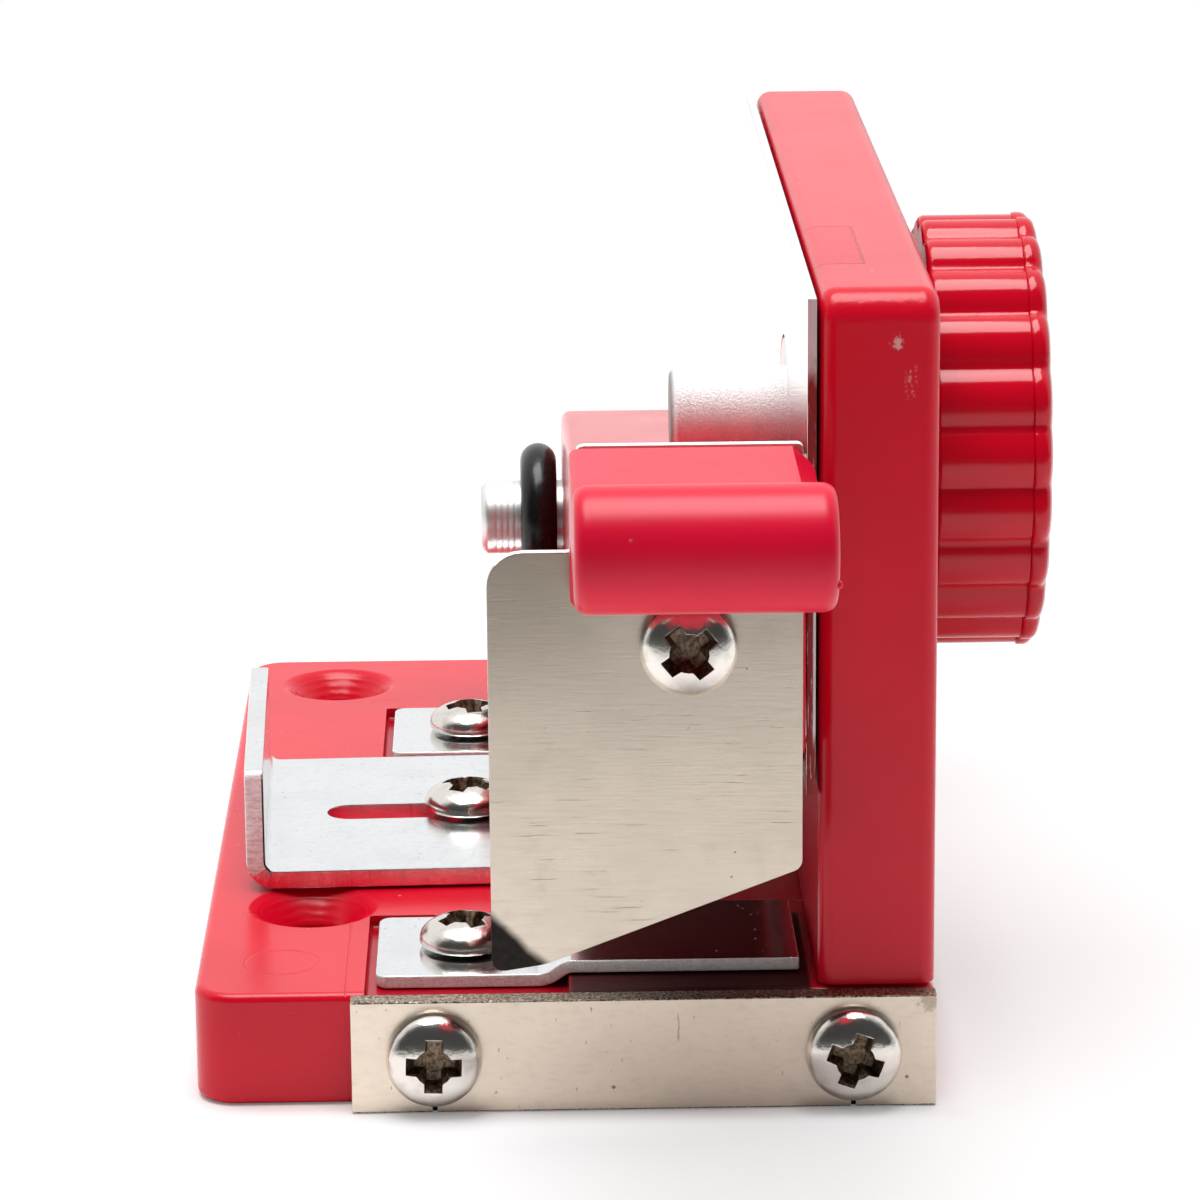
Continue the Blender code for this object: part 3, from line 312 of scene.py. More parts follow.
bladeMarks = {
    "heel": (13.75, 12.35),      # X plus Z where the dark heel of the lower left corner ends
    "heelTone": (0.014, 0.012, 0.011),
    # also the tone of the painted shade towards the shoulder
    "smear": (0.42, 0.36, 0.28),
    "dot": (0.2, 0.15, 0.1),
    "shadeTopZ": (33.0, 47.0),     # painted shade: darker towards the shoulder, under the handle
    "shadeTopX": (9.0, -3.0),
}


# heel, smears, dots and scratches, with painted shade towards the shoulder
def bladeWearAndShade(look, shade, rough):
    x, y, z = look.parts(look.spot)
    wave = (look.noise(0.45) - 0.5) * 1.12
    heel = look.ease(x + z + wave, *bladeMarks["heel"])
    mottled = look.noise(1.6, 3.0)
    shade = look.mix(heel * (1.0 - mottled * 0.04), shade, bladeMarks["heelTone"])
    tint = look.ease(look.noise(0.22, 5.0, 0.6), 0.56, 0.78)
    shade = look.mix(tint * 0.22, shade, bladeMarks["smear"])
    # painted shade: darker towards the shoulder, in the smear tone
    shoulderShade = look.ease(z, *bladeMarks["shadeTopZ"]) * look.ease(x, *bladeMarks["shadeTopX"])
    shade = look.mix(shoulderShade * 0.55, shade, bladeMarks["smear"])
    dots = look.ease(look.cells(0.42), 0.06, 0.035) * look.ease(look.noise(0.3), 0.55, 0.6)
    shade = look.mix(dots * 0.7, shade, bladeMarks["dot"])
    scratch = look.ease(look.noise((0.25, 1.0, 7.0)), 0.70, 0.76)
    look.emboss(1.0 - scratch, 0.01)
    return shade, rough + heel * 0.12 + tint * 0.06


strapMarks = {
    "scratch": (9.7, 7.4),       # a short upright scratch: X and the height it hangs from
    "worn": (31.0, 9.3),
    "scratchTone": (0.35, 0.28, 0.2),
    "wornTone": (0.30, 0.23, 0.15),
    "fleckTone": (0.25, 0.18, 0.12),
}


def strapWear(look, shade, rough):
    x, y, z = look.parts(look.spot)
    lineX, lineZ = strapMarks["scratch"]
    wobble = (look.noise(1.2) - 0.5) * 0.5
    scratch = look.band(x + wobble, lineX, 0.09, 0.03) * look.band(z, lineZ, 1.4, 1.0)
    shade = look.mix(scratch * 0.6, shade, strapMarks["scratchTone"])
    reach = look.away(x, z, strapMarks["worn"])
    worn = look.ease(reach + look.noise(2.2, 4.0, 0.7) * 3.0, 2.6, 1.9)
    shade = look.mix(worn * 0.45, shade, strapMarks["wornTone"])
    flecks = look.ease(look.noise((2.4, 1.0, 0.8), 3.0, 0.6), 0.69, 0.74)
    shade = look.mix(flecks * 0.6, shade, strapMarks["fleckTone"])
    return shade, rough + worn * 0.12


def shearedEdge(name, colour, dark, roughness, strokes, depth, contrast=0.7, metallic=1.0, glint=None,
                glintSize=5.5):
    # a cut or tumbled edge: rough strokes with dark flecks, and bright sparkle painted into the colour as
    # glints
    look = Finish(name, colour, roughness, metallic)
    rasp = look.noise(strokes, 4.0, 0.75)
    sparkle = look.noise(glintSize, 2.0, 0.8)
    shade = look.mix(look.ease(rasp, 0.42, 0.62) * contrast, colour, dark)
    shade = look.mix(look.ease(sparkle, 0.57, 0.63) * 0.85, shade, glint or colour)
    look.emboss(rasp, depth)
    look.emboss(sparkle, depth * 0.6)
    return look.done(shade, roughness - 0.05 + sparkle * 0.12)


sheetEdgeMarks = {
    "tone": (0.75, 0.75, 0.75),
    # painted reflection: the red the edge mirrors lower down
    "mirroredRedTone": (0.30, 0.03, 0.03),
    "glint": (0.8, 0.75, 0.75),
    "mirroredRedZ": (67.5, 64.0),
    "untinted": (38.0, 7.0, 5.0),
    "untintedX": (21.2, 21.3),
}


def sheetEdge():
    # cut edge of the polished sheet: bright high up; lower down the red it mirrors is painted into its colour
    # as a painted reflection
    look = Finish("polished sheet edge", sheetEdgeMarks["tone"], 0.45, 0.6)
    x, y, z = look.parts(look.spot)
    grain = look.noise((1.5, 1.5, 0.525), 3.0, 0.7)
    # painted reflection of the red, stronger lower down, left out in one band
    tint = look.ease(z + grain * 4.0, *sheetEdgeMarks["mirroredRedZ"])
    untinted = look.band(z, *sheetEdgeMarks["untinted"]) * look.ease(x, *sheetEdgeMarks["untintedX"])
    shade = look.mix(tint * (1.0 - untinted), sheetEdgeMarks["tone"], sheetEdgeMarks["mirroredRedTone"])
    # painted glints along the edge
    glint = look.ease(look.noise((6.0, 1.0, 0.25), 3.0, 0.7), 0.58, 0.64)
    shade = look.mix(glint * 0.6, shade, sheetEdgeMarks["glint"])
    look.emboss(grain, 0.03)
    return look.done(shade, 0.35 + grain * 0.2)


def mottled(name, colour, roughness, grain, tones, rough, depth=0.0, contrast=None, **fixed):
    # two tones and a roughness that follow one noise
    look = Finish(name, colour, roughness, **fixed)
    skin = look.noise(*grain)
    share = look.ease(skin, *contrast) if contrast else skin
    if depth:
        look.emboss(skin, depth)
    return look.done(look.mix(share, *tones), rough[0] + skin * rough[1])


# painted shade on the pin's end and along its back
pinMarks = {"endX": (10.3, 10.7), "backY": (-19.9, -20.5), "edgeShade": (0.22, 0.21, 0.2)}


def pinEdgeShade(look, shade, rough):
    # painted shade: darker on the pin's end and along its back
    x, y, z = look.parts(look.spot)
    edgeShade = 1.0 - look.ease(x, *pinMarks["endX"]) * look.ease(y, *pinMarks["backY"])
    return look.mix(edgeShade * 0.8, shade, pinMarks["edgeShade"]), rough


def turnedMetal(name, colour, roughness, lines, pitted=0.0, metallic=1.0, marks=None):
    look = Finish(name, colour, roughness, metallic)
    rings = look.noise(lines)
    cloud = look.noise(0.5, 3.0)
    dark = tuple(c * 0.72 for c in colour)
    shade = look.mix(look.ease(rings, 0.45, 0.8) * 0.35, colour, dark)
    rough = roughness - 0.05 + rings * 0.1 + cloud * 0.05
    look.emboss(rings, 0.006)
    if pitted:
        grain = look.noise(5.0, 3.0, 0.7)
        look.emboss(grain, pitted)
        shade = look.mix(look.ease(grain, 0.5, 0.66) * 0.55, shade, dark)
    return look.done(shade, rough, marks)


def screwNickel():
    bright, dull = (0.77, 0.74, 0.69), (0.50, 0.46, 0.40)
    look = Finish("screw nickel", bright, 0.16, 1.0)
    smear = look.noise(0.9, 3.0)
    fine = look.noise(6.0, 3.0, 0.7)
    shade = look.mix(look.ease(smear, 0.45, 0.75) * 0.4, bright, dull)
    look.emboss(fine, 0.006)
    look.emboss(look.noise(1.3), 0.03)
    return look.done(shade, 0.12 + smear * 0.1 + fine * 0.04)


zincTone, zincPit = (0.84, 0.86, 0.87), (0.35, 0.36, 0.37)
looks = {
    "red": redPlastic("moulded red"),
    "wallRed": redPlastic("moulded red wall", 0.22, wallWear),
    "baseRed": redPlastic("moulded red base", 0.23, baseWearAndShade),
    "handleRed": redPlastic("moulded red handle", 0.31, tone="rose"),
    "knobRed": redPlastic("moulded red knob", 0.1, tone="deep", shine=0.36),
    # painted shade: the arm's underside gets this darkened red
    "shadedUnderRed": redPlastic("moulded red underside with painted shade", 0.5, tone="under", shine=0.08),
    "strap": sheetMetal(
        "strap nickel", (0.84, 0.74, 0.62), 0.36, (0.9, 0.9, 2.2),
        speck=(0.5, 0.56, (0.12, 0.10, 0.08)), marks=strapWear),
    "strapShear": shearedEdge(
        "strap sheared top", (0.42, 0.34, 0.25), (0.03, 0.02, 0.014), 0.35, (3.0, 2.2, 2.6), 0.08,
        contrast=0.95, glint=(0.95, 0.88, 0.76), glintSize=3.6),
    "blade": sheetMetal(
        "blade steel", (0.74, 0.65, 0.55), 0.3, (0.3, 1.0, 7.0),
        speck=(0.4, 0.62, (0.3, 0.26, 0.2)), marks=bladeWearAndShade, depth=0.006),
    "zinc": sheetMetal("bright zinc", zincTone, 0.14, (2.6, 2.6, 2.6), speck=(1.0, 0.52, zincPit)),
    "guide": sheetMetal("guide zinc", zincTone, 0.18, (1.8, 1.8, 1.8), speck=(0.9, 0.5, zincPit)),
    # painted highlight: a white, matt edge stands in for the highlight on the zinc edges and the blade's top
    # edge
    "plateShearHighlight": shearedEdge(
        "tumbled zinc edge with painted highlight", (0.96, 0.96, 0.95), (0.6, 0.6, 0.59), 0.35, (2.4, 2.4, 3.4), 0.1,
        contrast=0.4, metallic=0.0, glint=(1.0, 1.0, 1.0), glintSize=3.4),
    "guideShear": shearedEdge(
        "sheared zinc edge", (0.92, 0.92, 0.92), (0.5, 0.49, 0.49), 0.2, (3.4, 3.4, 0.3), 0.05, contrast=0.4),
    # painted reflection: the pink dark tone stands for the red base mirrored in the flange end, with painted
    # glints
    "flangeShearReflection": shearedEdge(
        "sheared flange end with painted reflection", (0.96, 0.92, 0.92), (0.66, 0.42, 0.42), 0.3, (0.7, 0.7, 5.0), 0.09,
        contrast=0.7, metallic=0.1, glint=(1.0, 0.98, 0.98), glintSize=3.0),
    "mirror": sheetMetal("polished sheet", (0.9, 0.9, 0.905), 0.12, (0.4, 0.05, 3.0)),
    "mirrorEdge": sheetEdge(),
    "screw": screwNickel(),
    "recess": mottled(
        "screw recess", (0.16, 0.12, 0.08), 0.45, (2.5, 4.0, 0.7), ((0.09, 0.062, 0.038), (0.36, 0.28, 0.2)),
        (0.35, 0.3), 0.06, contrast=(0.35, 0.65), metallic=1.0),
    "shaft": turnedMetal("shaft steel", (0.86, 0.85, 0.84), 0.42, (5.0, 0.1, 0.1)),
    "pin": turnedMetal("pin steel", (0.95, 0.95, 0.94), 0.5, (1.0, 0.3, 0.3), 0.16, 0.35, pinEdgeShade),
    "spring": turnedMetal("spring wire", (0.6, 0.6, 0.6), 0.3, (2.0, 2.0, 2.0)),
    "rubber": mottled(
        "black rubber", (0.005, 0.005, 0.005), 0.3, (1.6, 3.0),
        ((0.003, 0.003, 0.003), (0.008, 0.008, 0.008)), (0.2, 0.12), 0.02, shine=0.35),
    # painted shade: near black for the deep slits and creases
    "gap": mottled(
        "painted shade in slits", (0.01, 0.008, 0.007), 0.9, (3.0, 3.0),
        ((0.006, 0.005, 0.004), (0.02, 0.016, 0.012)), (0.8, 0.15)),
}
print("finishes made:", len(looks))


def cleaned(bm, close):
    bmesh.ops.remove_doubles(bm, verts=bm.verts, dist=close)
    bmesh.ops.recalc_face_normals(bm, faces=bm.faces)
    return bm


def bevelled(bm, geom, width, steps, affect="EDGES"):
    bmesh.ops.bevel(bm, geom=geom, offset=width, segments=steps, profile=0.5, affect=affect, material=-1,
                    clamp_overlap=True)


def roundCorner(bm, vert, radius):
    ends = [edge.other_vert(vert).co - vert.co for edge in vert.link_edges]
    half = ends[0].angle(ends[1]) / 2
    steps = max(3, int(radius * 1.5) + 3)
    bevelled(bm, [vert], radius / math.tan(half), steps, "VERTICES")


def sheetFace(corners):
    # one face through a few corners (x, y, radius); radius rounds that corner
    bm = bmesh.new()
    verts = [bm.verts.new((x, y, 0.0)) for x, y, r in corners]
    bm.faces.new(verts)
    for vert, (x, y, radius) in zip(verts, corners):
        if radius:
            roundCorner(bm, vert, radius)
    return bm


def newVerts(made):
    return [v for v in made["geom"] if isinstance(v, bmesh.types.BMVert)]


def thicken(bm, depth):
    made = bmesh.ops.extrude_face_region(bm, geom=list(bm.faces))
    bmesh.ops.translate(bm, verts=newVerts(made), vec=(0.0, 0.0, depth))
    bmesh.ops.recalc_face_normals(bm, faces=bm.faces)
    return bm


def softEdges(bm, width, steps, angle=40.0, pick=None):
    limit = math.radians(angle)
    edges = [e for e in bm.edges if len(e.link_faces) == 2 and e.calc_face_angle(0.0) > limit]
    edges = [e for e in edges if pick is None or pick(e)]
    if edges:
        bevelled(bm, edges, width, steps)
    return bm


def block(low, high, soft=0.0, steps=3):
    bm = bmesh.new()
    bmesh.ops.create_cube(bm, size=1.0)
    size = [b - a for a, b in zip(low, high)]
    middle = [(a + b) / 2 for a, b in zip(low, high)]
    bmesh.ops.scale(bm, vec=size, verts=bm.verts)
    bmesh.ops.translate(bm, vec=middle, verts=bm.verts)
    return softEdges(bm, soft, steps) if soft else bm


def spun(bm, geom, steps, close):
    bmesh.ops.spin(bm, geom=geom, axis=(0, 0, 1), angle=math.tau, steps=steps, use_merge=True)
    return cleaned(bm, close)


def chain(points):
    bm = bmesh.new()
    verts = [bm.verts.new(point) for point in points]
    return bm, verts, [bm.edges.new(pair) for pair in zip(verts, verts[1:])]


def turned(profile, steps=64):
    # spin (radius, height) points round Z; the ends lie on the axis
    bm, verts, edges = chain([(r, 0.0, h) for r, h in profile])
    return spun(bm, verts + edges, steps, 0.0005)


def eased(profile, radius, steps):
    # round the inner corners of a profile
    result = [profile[0]]
    for before, here, after in zip(profile, profile[1:], profile[2:]):
        a, b, c = Vector(before), Vector(here), Vector(after)
        reach = min(radius, (a - b).length * 0.45, (c - b).length * 0.45)
        start = b + (a - b).normalized() * reach
        end = b + (c - b).normalized() * reach
        for i in range(steps + 1):
            t = i / steps
            result.append(tuple(start * (1 - t) ** 2 + b * 2 * t * (1 - t) + end * t * t))
    return result + [profile[-1]]


directions = {
    "up": Matrix.Identity(4),
    "down": Matrix.Rotation(math.pi, 4, "X"),
    "near": Matrix.Rotation(math.pi / 2, 4, "X"),
    "right": Matrix.Rotation(math.pi / 2, 4, "Y"),
    "side": Matrix.Rotation(math.pi / 2, 4, "Z") @ Matrix.Rotation(math.pi / 2, 4, "X"),
}


def poseOf(facing, place, turn=0.0):
    return Matrix.Translation(place) @ directions[facing] @ Matrix.Rotation(math.radians(turn), 4, "Z")


def placed(bm, facing, place):
    bmesh.ops.transform(bm, matrix=poseOf(facing, place), verts=bm.verts)
    return bm


def linked(name, data):
    made = bpy.data.objects.new(name, data)
    bpy.context.scene.collection.objects.link(made)
    return made


def loose(bm, name):
    # an object from a bmesh in millimetres, at the origin
    bmesh.ops.scale(bm, vec=(mm, mm, mm), verts=bm.verts)
    mesh = bpy.data.meshes.new(name)
    bm.to_mesh(mesh)
    bm.free()
    return linked(name, mesh)


def bake(piece):
    graph = bpy.context.evaluated_depsgraph_get()
    mesh = bpy.data.meshes.new_from_object(piece.evaluated_get(graph))
    piece.modifiers.clear()
    piece.data = mesh


def joined(piece, others, operation="DIFFERENCE"):
    tools = [loose(bm, "tool") for bm in others]
    for tool in tools:
        step = piece.modifiers.new("Join", "BOOLEAN")
        step.operation = operation
        step.solver = "EXACT"
        step.object = tool
    bake(piece)
    for tool in tools:
        bpy.data.objects.remove(tool)
    return piece


def thickWall(piece, thickness):
    # the given faces are the outer side
    step = piece.modifiers.new("Wall", "SOLIDIFY")
    step.thickness = thickness * mm
    step.offset = -1.0
    step.use_even_offset = True


def smoothed(piece, angle):
    piece.data.shade_smooth()
    piece.data.set_sharp_from_angle(angle=math.radians(angle))


def finished(piece, look, body, nodes, smooth=38.0, edge=0.0, edgeSteps=2, edgeAngle=50.0,
             wall=None, clamp=True):
    piece.data.materials.clear()
    piece.data.materials.append(looks[look])
    smoothed(piece, smooth)
    if wall:
        thickWall(piece, wall)
    if edge:
        step = piece.modifiers.new("Edge", "BEVEL")
        step.width = edge * mm
        step.segments = edgeSteps
        step.limit_method = "ANGLE"
        step.angle_limit = math.radians(edgeAngle)
        step.use_clamp_overlap = clamp
    if edge or wall:
        bake(piece)
        smoothed(piece, smooth)
    even = piece.modifiers.new("Even", "WEIGHTED_NORMAL")
    even.keep_sharp = True
    bake(piece)
    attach(piece, body)
    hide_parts(*nodes)


def benchHole(x, y):
    hole, dish, depth = base["hole"], base["dish"], base["dishDepth"]
    profile = [(0.0, 2.0), (dish + 2.0, 2.0), (dish + 0.55, 0.02), (dish + 0.15, -0.06), (dish - 0.3, -0.3),
               (dish - 1.0, -0.8), (hole + 0.6, -depth + 0.4), (hole + 0.2, -depth), (hole, -depth - 0.5),
               (hole, -12.0), (0.0, -12.0)]
    return placed(turned(profile, 72), "up", (x, y, 10.0))


def painted(piece, look, test):
    # give the faces that pass a test another finish
    piece.data.materials.append(looks[look])
    index = len(piece.data.materials) - 1
    for face in piece.data.polygons:
        if test(face.center / mm, face.normal):
            face.material_index = index


def makeBase():
    x, y, z = (value / 2 for value in base["size"])
    left, right = base["leftCorner"], base["rightCorner"]
    bm = sheetFace([(-x, -y, left), (x, -y, right), (x, y, right), (-x, y, left)])
    level = lambda e: abs(e.verts[0].co.z - e.verts[1].co.z) < 0.1
    softEdges(thicken(bm, 2 * z), base["edge"], 4, 60.0, level)
    piece = loose(bm, "basePlate")
    lowX, highX = base["recessX"]
    floor = base["recessFloor"]
    tools = [block((lowX, low, floor), (highX, high, 12.0), 0.35) for low, high in base["recessRows"]]
    tools += [benchHole(*place) for place in base["benchHoles"]]
    joined(piece, tools)
    finished(piece, "baseRed", "frame", ["base_plate"])


makeBase()
print("base made")


wall = {
    "low": (21.75, -52.5, 10.25),
    "high": (31.75, 52.5, 70.5),
    "edge": 1.4,
    "brow": 2.7,
    "sheetLow": (20.7, -51.9, 27.0),
    "sheetHigh": (21.5, 51.9, 69.9),
}
axes = {"lever": (35.5, 29.7), "knob": (-18.0, 50.8)}      # Y and Z of the two hinges
bores = {"flange": 8.75, "spindle": 4.75, "shaft": 3.95, "screw": 2.15, "spring": 7.6}


def onAxis(bm, start, axis):
    return placed(bm, "right", (start, *axes[axis]))


def bored(kind, low, high, axis):
    radius = bores[kind]
    return onAxis(turned([(0.0, high), (radius, high), (radius, low), (0.0, low)]), 0.0, axis)


def makeWall():
    lowX, lowY, lowZ = wall["low"]
    highX, highY, highZ = wall["high"]
    bm = block((lowX, lowY, lowZ - 4.0), wall["high"])
    brow = lambda e: all(v.co.z > highZ - 0.1 and v.co.y < lowY + 0.1 for v in e.verts)
    softEdges(bm, wall["brow"], 9, 40.0, brow)
    softEdges(bm, wall["edge"], 6, 40.0)
    piece = loose(bm, "wallBlock")
    foot = block((lowX - 1.0, lowY - 1.0, lowZ - 6.0), (highX + 1.0, highY + 1.0, lowZ))
    joined(piece, [foot, bored("flange", 15.0, 26.0, "knob"), bored("spindle", 20.0, 40.0, "knob"),
                   bored("shaft", 15.0, 29.5, "lever"), bored("screw", 20.0, 40.0, "lever")])
    finished(piece, "wallRed", "frame", ["back_plate"])


def makeFaceSheet():
    piece = loose(block(wall["sheetLow"], wall["sheetHigh"]), "faceSheet")
    joined(piece, [bored("flange", 15.0, 26.0, "knob"), bored("shaft", 15.0, 26.0, "lever")])
    finished(piece, "mirror", "frame", ["face_plate"], edge=0.1)
    outside = lambda place: abs(place.y) > 51.5 or place.z > 69.5 or place.z < 27.3
    painted(piece, "mirrorEdge", lambda place, way: abs(way.x) < 0.5 and outside(place))


makeWall()
makeFaceSheet()
print("wall made")


screw = {
    "shape": (4.1, 2.8, 0.8, 1.9),         # head radius, head height, rim height, shank radius
    "cross": (5.7, 1.75, 2.1, 2.0),        # span, width and depth of the cross, radius of its middle
}
handleScrew = {
    "shape": (2.5, 1.8, 0.5, 1.4),
    "cross": (3.2, 0.9, 1.3, 1.05),
    "length": 13.0,
    "place": (-62.37, 49.4),
    "rows": {"handleScrewLeft": ("handle_screw_left", 6.0), "handleScrewRight": ("handle_screw_right", 15.5)},
}
# name: (node, place, way the head faces, turn, shank length, body)
screwPlaces = {
    "strapScrewLeft": ("fixed_blade_screw_left", (-11.15, -54.75, 5.0), "near", -2.0, 12.0, "frame"),
    "strapScrewRight": ("fixed_blade_screw_right", (24.65, -54.75, 5.0), "near", -20.0, 12.0, "frame"),
    "bladeScrew": ("blade_screw", (10.5, -58.72, 42.3), "near", 38.0, 12.0, "lever"),
    "nearPlateScrew": ("near_hold_down_screw", (-8.45, -40.6, 10.15), "up", 30.0, 7.0, "frame"),
    "guideScrew": ("guide_screw", (-8.45, -6.67, 11.95), "up", 62.0, 7.0, "frame"),
    "farPlateScrew": ("far_hold_down_screw", (-8.45, 25.7, 10.15), "up", 12.0, 7.0, "frame"),
    "shaftScrew": ("shaft_screw", (31.75, 35.5, 29.7), "right", 15.0, 12.0, "frame"),
    "knobScrew": ("knob_screw", (38.75, -18.0, 50.8), "right", 70.0, 9.0, "knob_assembly"),
    "baseScrewNear": ("base_screw_1", (26.75, -36.0, 3.05), "down", 10.0, 21.1, "frame"),
    "baseScrewMiddle": ("base_screw_2", (26.75, 0.0, 3.05), "down", 55.0, 21.1, "frame"),
    "baseScrewFar": ("base_screw_3", (26.75, 36.0, 3.05), "down", 80.0, 21.1, "frame"),
}


def crossCutter(span, width, depth, hub, top):
    # two tapered wings and a tapered hub, open at the top
    parts = []
    for turn in (0.0, 90.0):
        bm = block((-span / 2, -width / 2, top - depth), (span / 2, width / 2, top + 1.0))
        low = [v for v in bm.verts if v.co.z < top]
        bmesh.ops.scale(bm, vec=(0.62, 0.72, 1.0), verts=low)
        about = Matrix.Rotation(math.radians(turn), 3, "Z")
        bmesh.ops.rotate(bm, matrix=about, verts=bm.verts)
        parts.append(bm)
    cone = bmesh.new()
    bmesh.ops.create_cone(cone, cap_ends=True, segments=24, radius1=hub * 0.5, radius2=hub, depth=depth + 1.0)
    bmesh.ops.translate(cone, vec=(0.0, 0.0, top + 0.4 - depth / 2), verts=cone.verts)
    parts.append(cone)
    return parts


def screwHead(shape, cross, length):
    head, height, rim, shank = shape
    steps = 12
    dome = height - rim
    profile = [(0.0, height)]
    for i in range(1, steps + 1):
        angle = math.radians(90.0 * i / steps)
        profile.append((head * math.sin(angle) ** 0.92, rim + dome * math.cos(angle)))
    profile += [(head, rim * 0.75), (head - 0.12, 0.36), (head - 0.35, 0.27), (shank, 0.27),
                (shank, shank / 2 - length), (shank / 2, -length), (0.0, -length)]
    piece = loose(turned(profile, 56), "screwShape")
    return joined(piece, crossCutter(*cross, height))


def makeScrews():
    head, height, rim = screw["shape"][:3]
    shapes = {}
    for name, (node, place, facing, turn, length, body) in screwPlaces.items():
        if length not in shapes:
            shapes[length] = screwHead(screw["shape"], screw["cross"], length)
        mesh = shapes[length].data.copy()
        matrix = poseOf(facing, Vector(place) * mm, turn)
        mesh.transform(matrix)
        piece = linked(name, mesh)
        finished(piece, "screw", body, [node], smooth=32.0, edge=0.07, edgeAngle=42.0)
        inward = matrix.inverted()

        def inRecess(centre, way):
            local = (inward @ (centre * mm)) / mm
            reach = math.hypot(local.x, local.y) / head
            surface = rim + (height - rim) * math.sqrt(max(0.0, 1.0 - reach * reach))
            return reach < 0.85 and 0.4 < local.z < surface - 0.16

        painted(piece, "recess", inRecess)
    for shape in shapes.values():
        bpy.data.objects.remove(shape)


def makeHandleScrews():
    for name, (node, x) in handleScrew["rows"].items():
        piece = screwHead(handleScrew["shape"], handleScrew["cross"], handleScrew["length"])
        piece.name = name
        piece.data.transform(poseOf("near", Vector((x, *handleScrew["place"])) * mm))
        finished(piece, "screw", "lever", [node], smooth=32.0)


makeScrews()
makeHandleScrews()
print("screws made:", len(screwPlaces) + 2)


strap = {
    "low": (-18.25, -54.75, 0.0),
    "high": (31.75, -52.75, 10.0),
    "slit": 0.42,
    "screws": (-11.15, 24.65),
}


def makeStrap():
    piece = loose(block(strap["low"], strap["high"], 0.14, 2), "bladeStrap")
    half = strap["slit"] / 2
    joined(piece, [block((x - half, -56.0, -1.0), (x + half, -54.3, 4.0)) for x in strap["screws"]])
    finished(piece, "strap", "frame", ["fixed_blade"])
    painted(piece, "strapShear", lambda place, way: abs(way.z) > 0.35)
    inSlit = lambda place: any(abs(place.x - x) < half + 0.01 for x in strap["screws"]) and place.z < 4.1
    # painted shade in the slits below the strap screws
    painted(piece, "gap", lambda place, way: -54.7 < place.y < -54.2 and inSlit(place))


makeStrap()
print("strap made")


holdDown = {
    "left": -16.2,
    "right": 20.35,
    "bendX": (-1.65, 0.15),
    "low": 10.15,
    "rise": 1.2,
    "thickness": 1.15,
    "corner": 1.1,
    "bend": 0.55,
    "rows": {"nearHoldDown": ("near_hold_down", -48.5, -32.7), "farHoldDown": ("far_hold_down", 17.8, 33.6)},
}


def bentSheet(stations, lowY, highY, bend):
    # a sheet through (x, z) stations, swept along Y, with rounded bends
    bm, verts, edges = chain([(x, lowY, z) for x, z in stations])
    made = bmesh.ops.extrude_edge_only(bm, edges=edges)
    bmesh.ops.translate(bm, vec=(0.0, highY - lowY, 0.0), verts=newVerts(made))
    bevelled(bm, [e for e in bm.edges if len(e.link_faces) == 2], bend, 8)
    bmesh.ops.recalc_face_normals(bm, faces=bm.faces)
    return bm


def cornersAt(bm, test, radius):
    for vert in [v for v in bm.verts if len(v.link_edges) == 2 and test(v.co)]:
        roundCorner(bm, vert, radius)


def turnFlat(bm, up):
    # the flat on the right faces up or down
    flat = max(bm.faces, key=lambda f: f.calc_center_median().x)
    if flat.normal.z * up < 0.0:
        bmesh.ops.reverse_faces(bm, faces=bm.faces)


def makeHoldDowns():
    left, right, (stepLow, stepHigh) = holdDown["left"], holdDown["right"], holdDown["bendX"]
    z, rise = holdDown["low"], holdDown["rise"]
    for name, (node, low, high) in holdDown["rows"].items():
        stations = [(left, z), (stepLow, z), (stepHigh, z + rise), (right, z + rise)]
        bm = bentSheet(stations, low, high, holdDown["bend"])
        cornersAt(bm, lambda co: co.x < left + 0.1, holdDown["corner"])
        turnFlat(bm, 1.0)
        piece = loose(bm, name)
        finished(piece, "zinc", "frame", [node], wall=holdDown["thickness"], edge=0.16, edgeSteps=3,
                 clamp=False)
        ends = lambda place: place.y < low + 0.3 or place.y > high - 0.3
        sides = lambda place: place.x < left + 1.7 or place.x > right - 0.3
        # painted highlight: the cut ends and sides get the white edge finish
        painted(piece, "plateShearHighlight", lambda place, way: abs(way.z) < 0.96 and (ends(place) or sides(place)))


makeHoldDowns()
print("hold-downs made")


guide = {
    "left": -29.0,
    "right": -0.6,
    "top": 11.95,
    "flangeTop": 21.45,
    "thickness": 1.7,
    "y": (-24.17, 10.83),
    "bend": 2.6,
    "corner": 0.7,
    "turn": 1.8,
    "screw": (-8.45, -6.67),
    "slotX": (-21.7, -4.2),
    "slotWidth": 4.4,
}


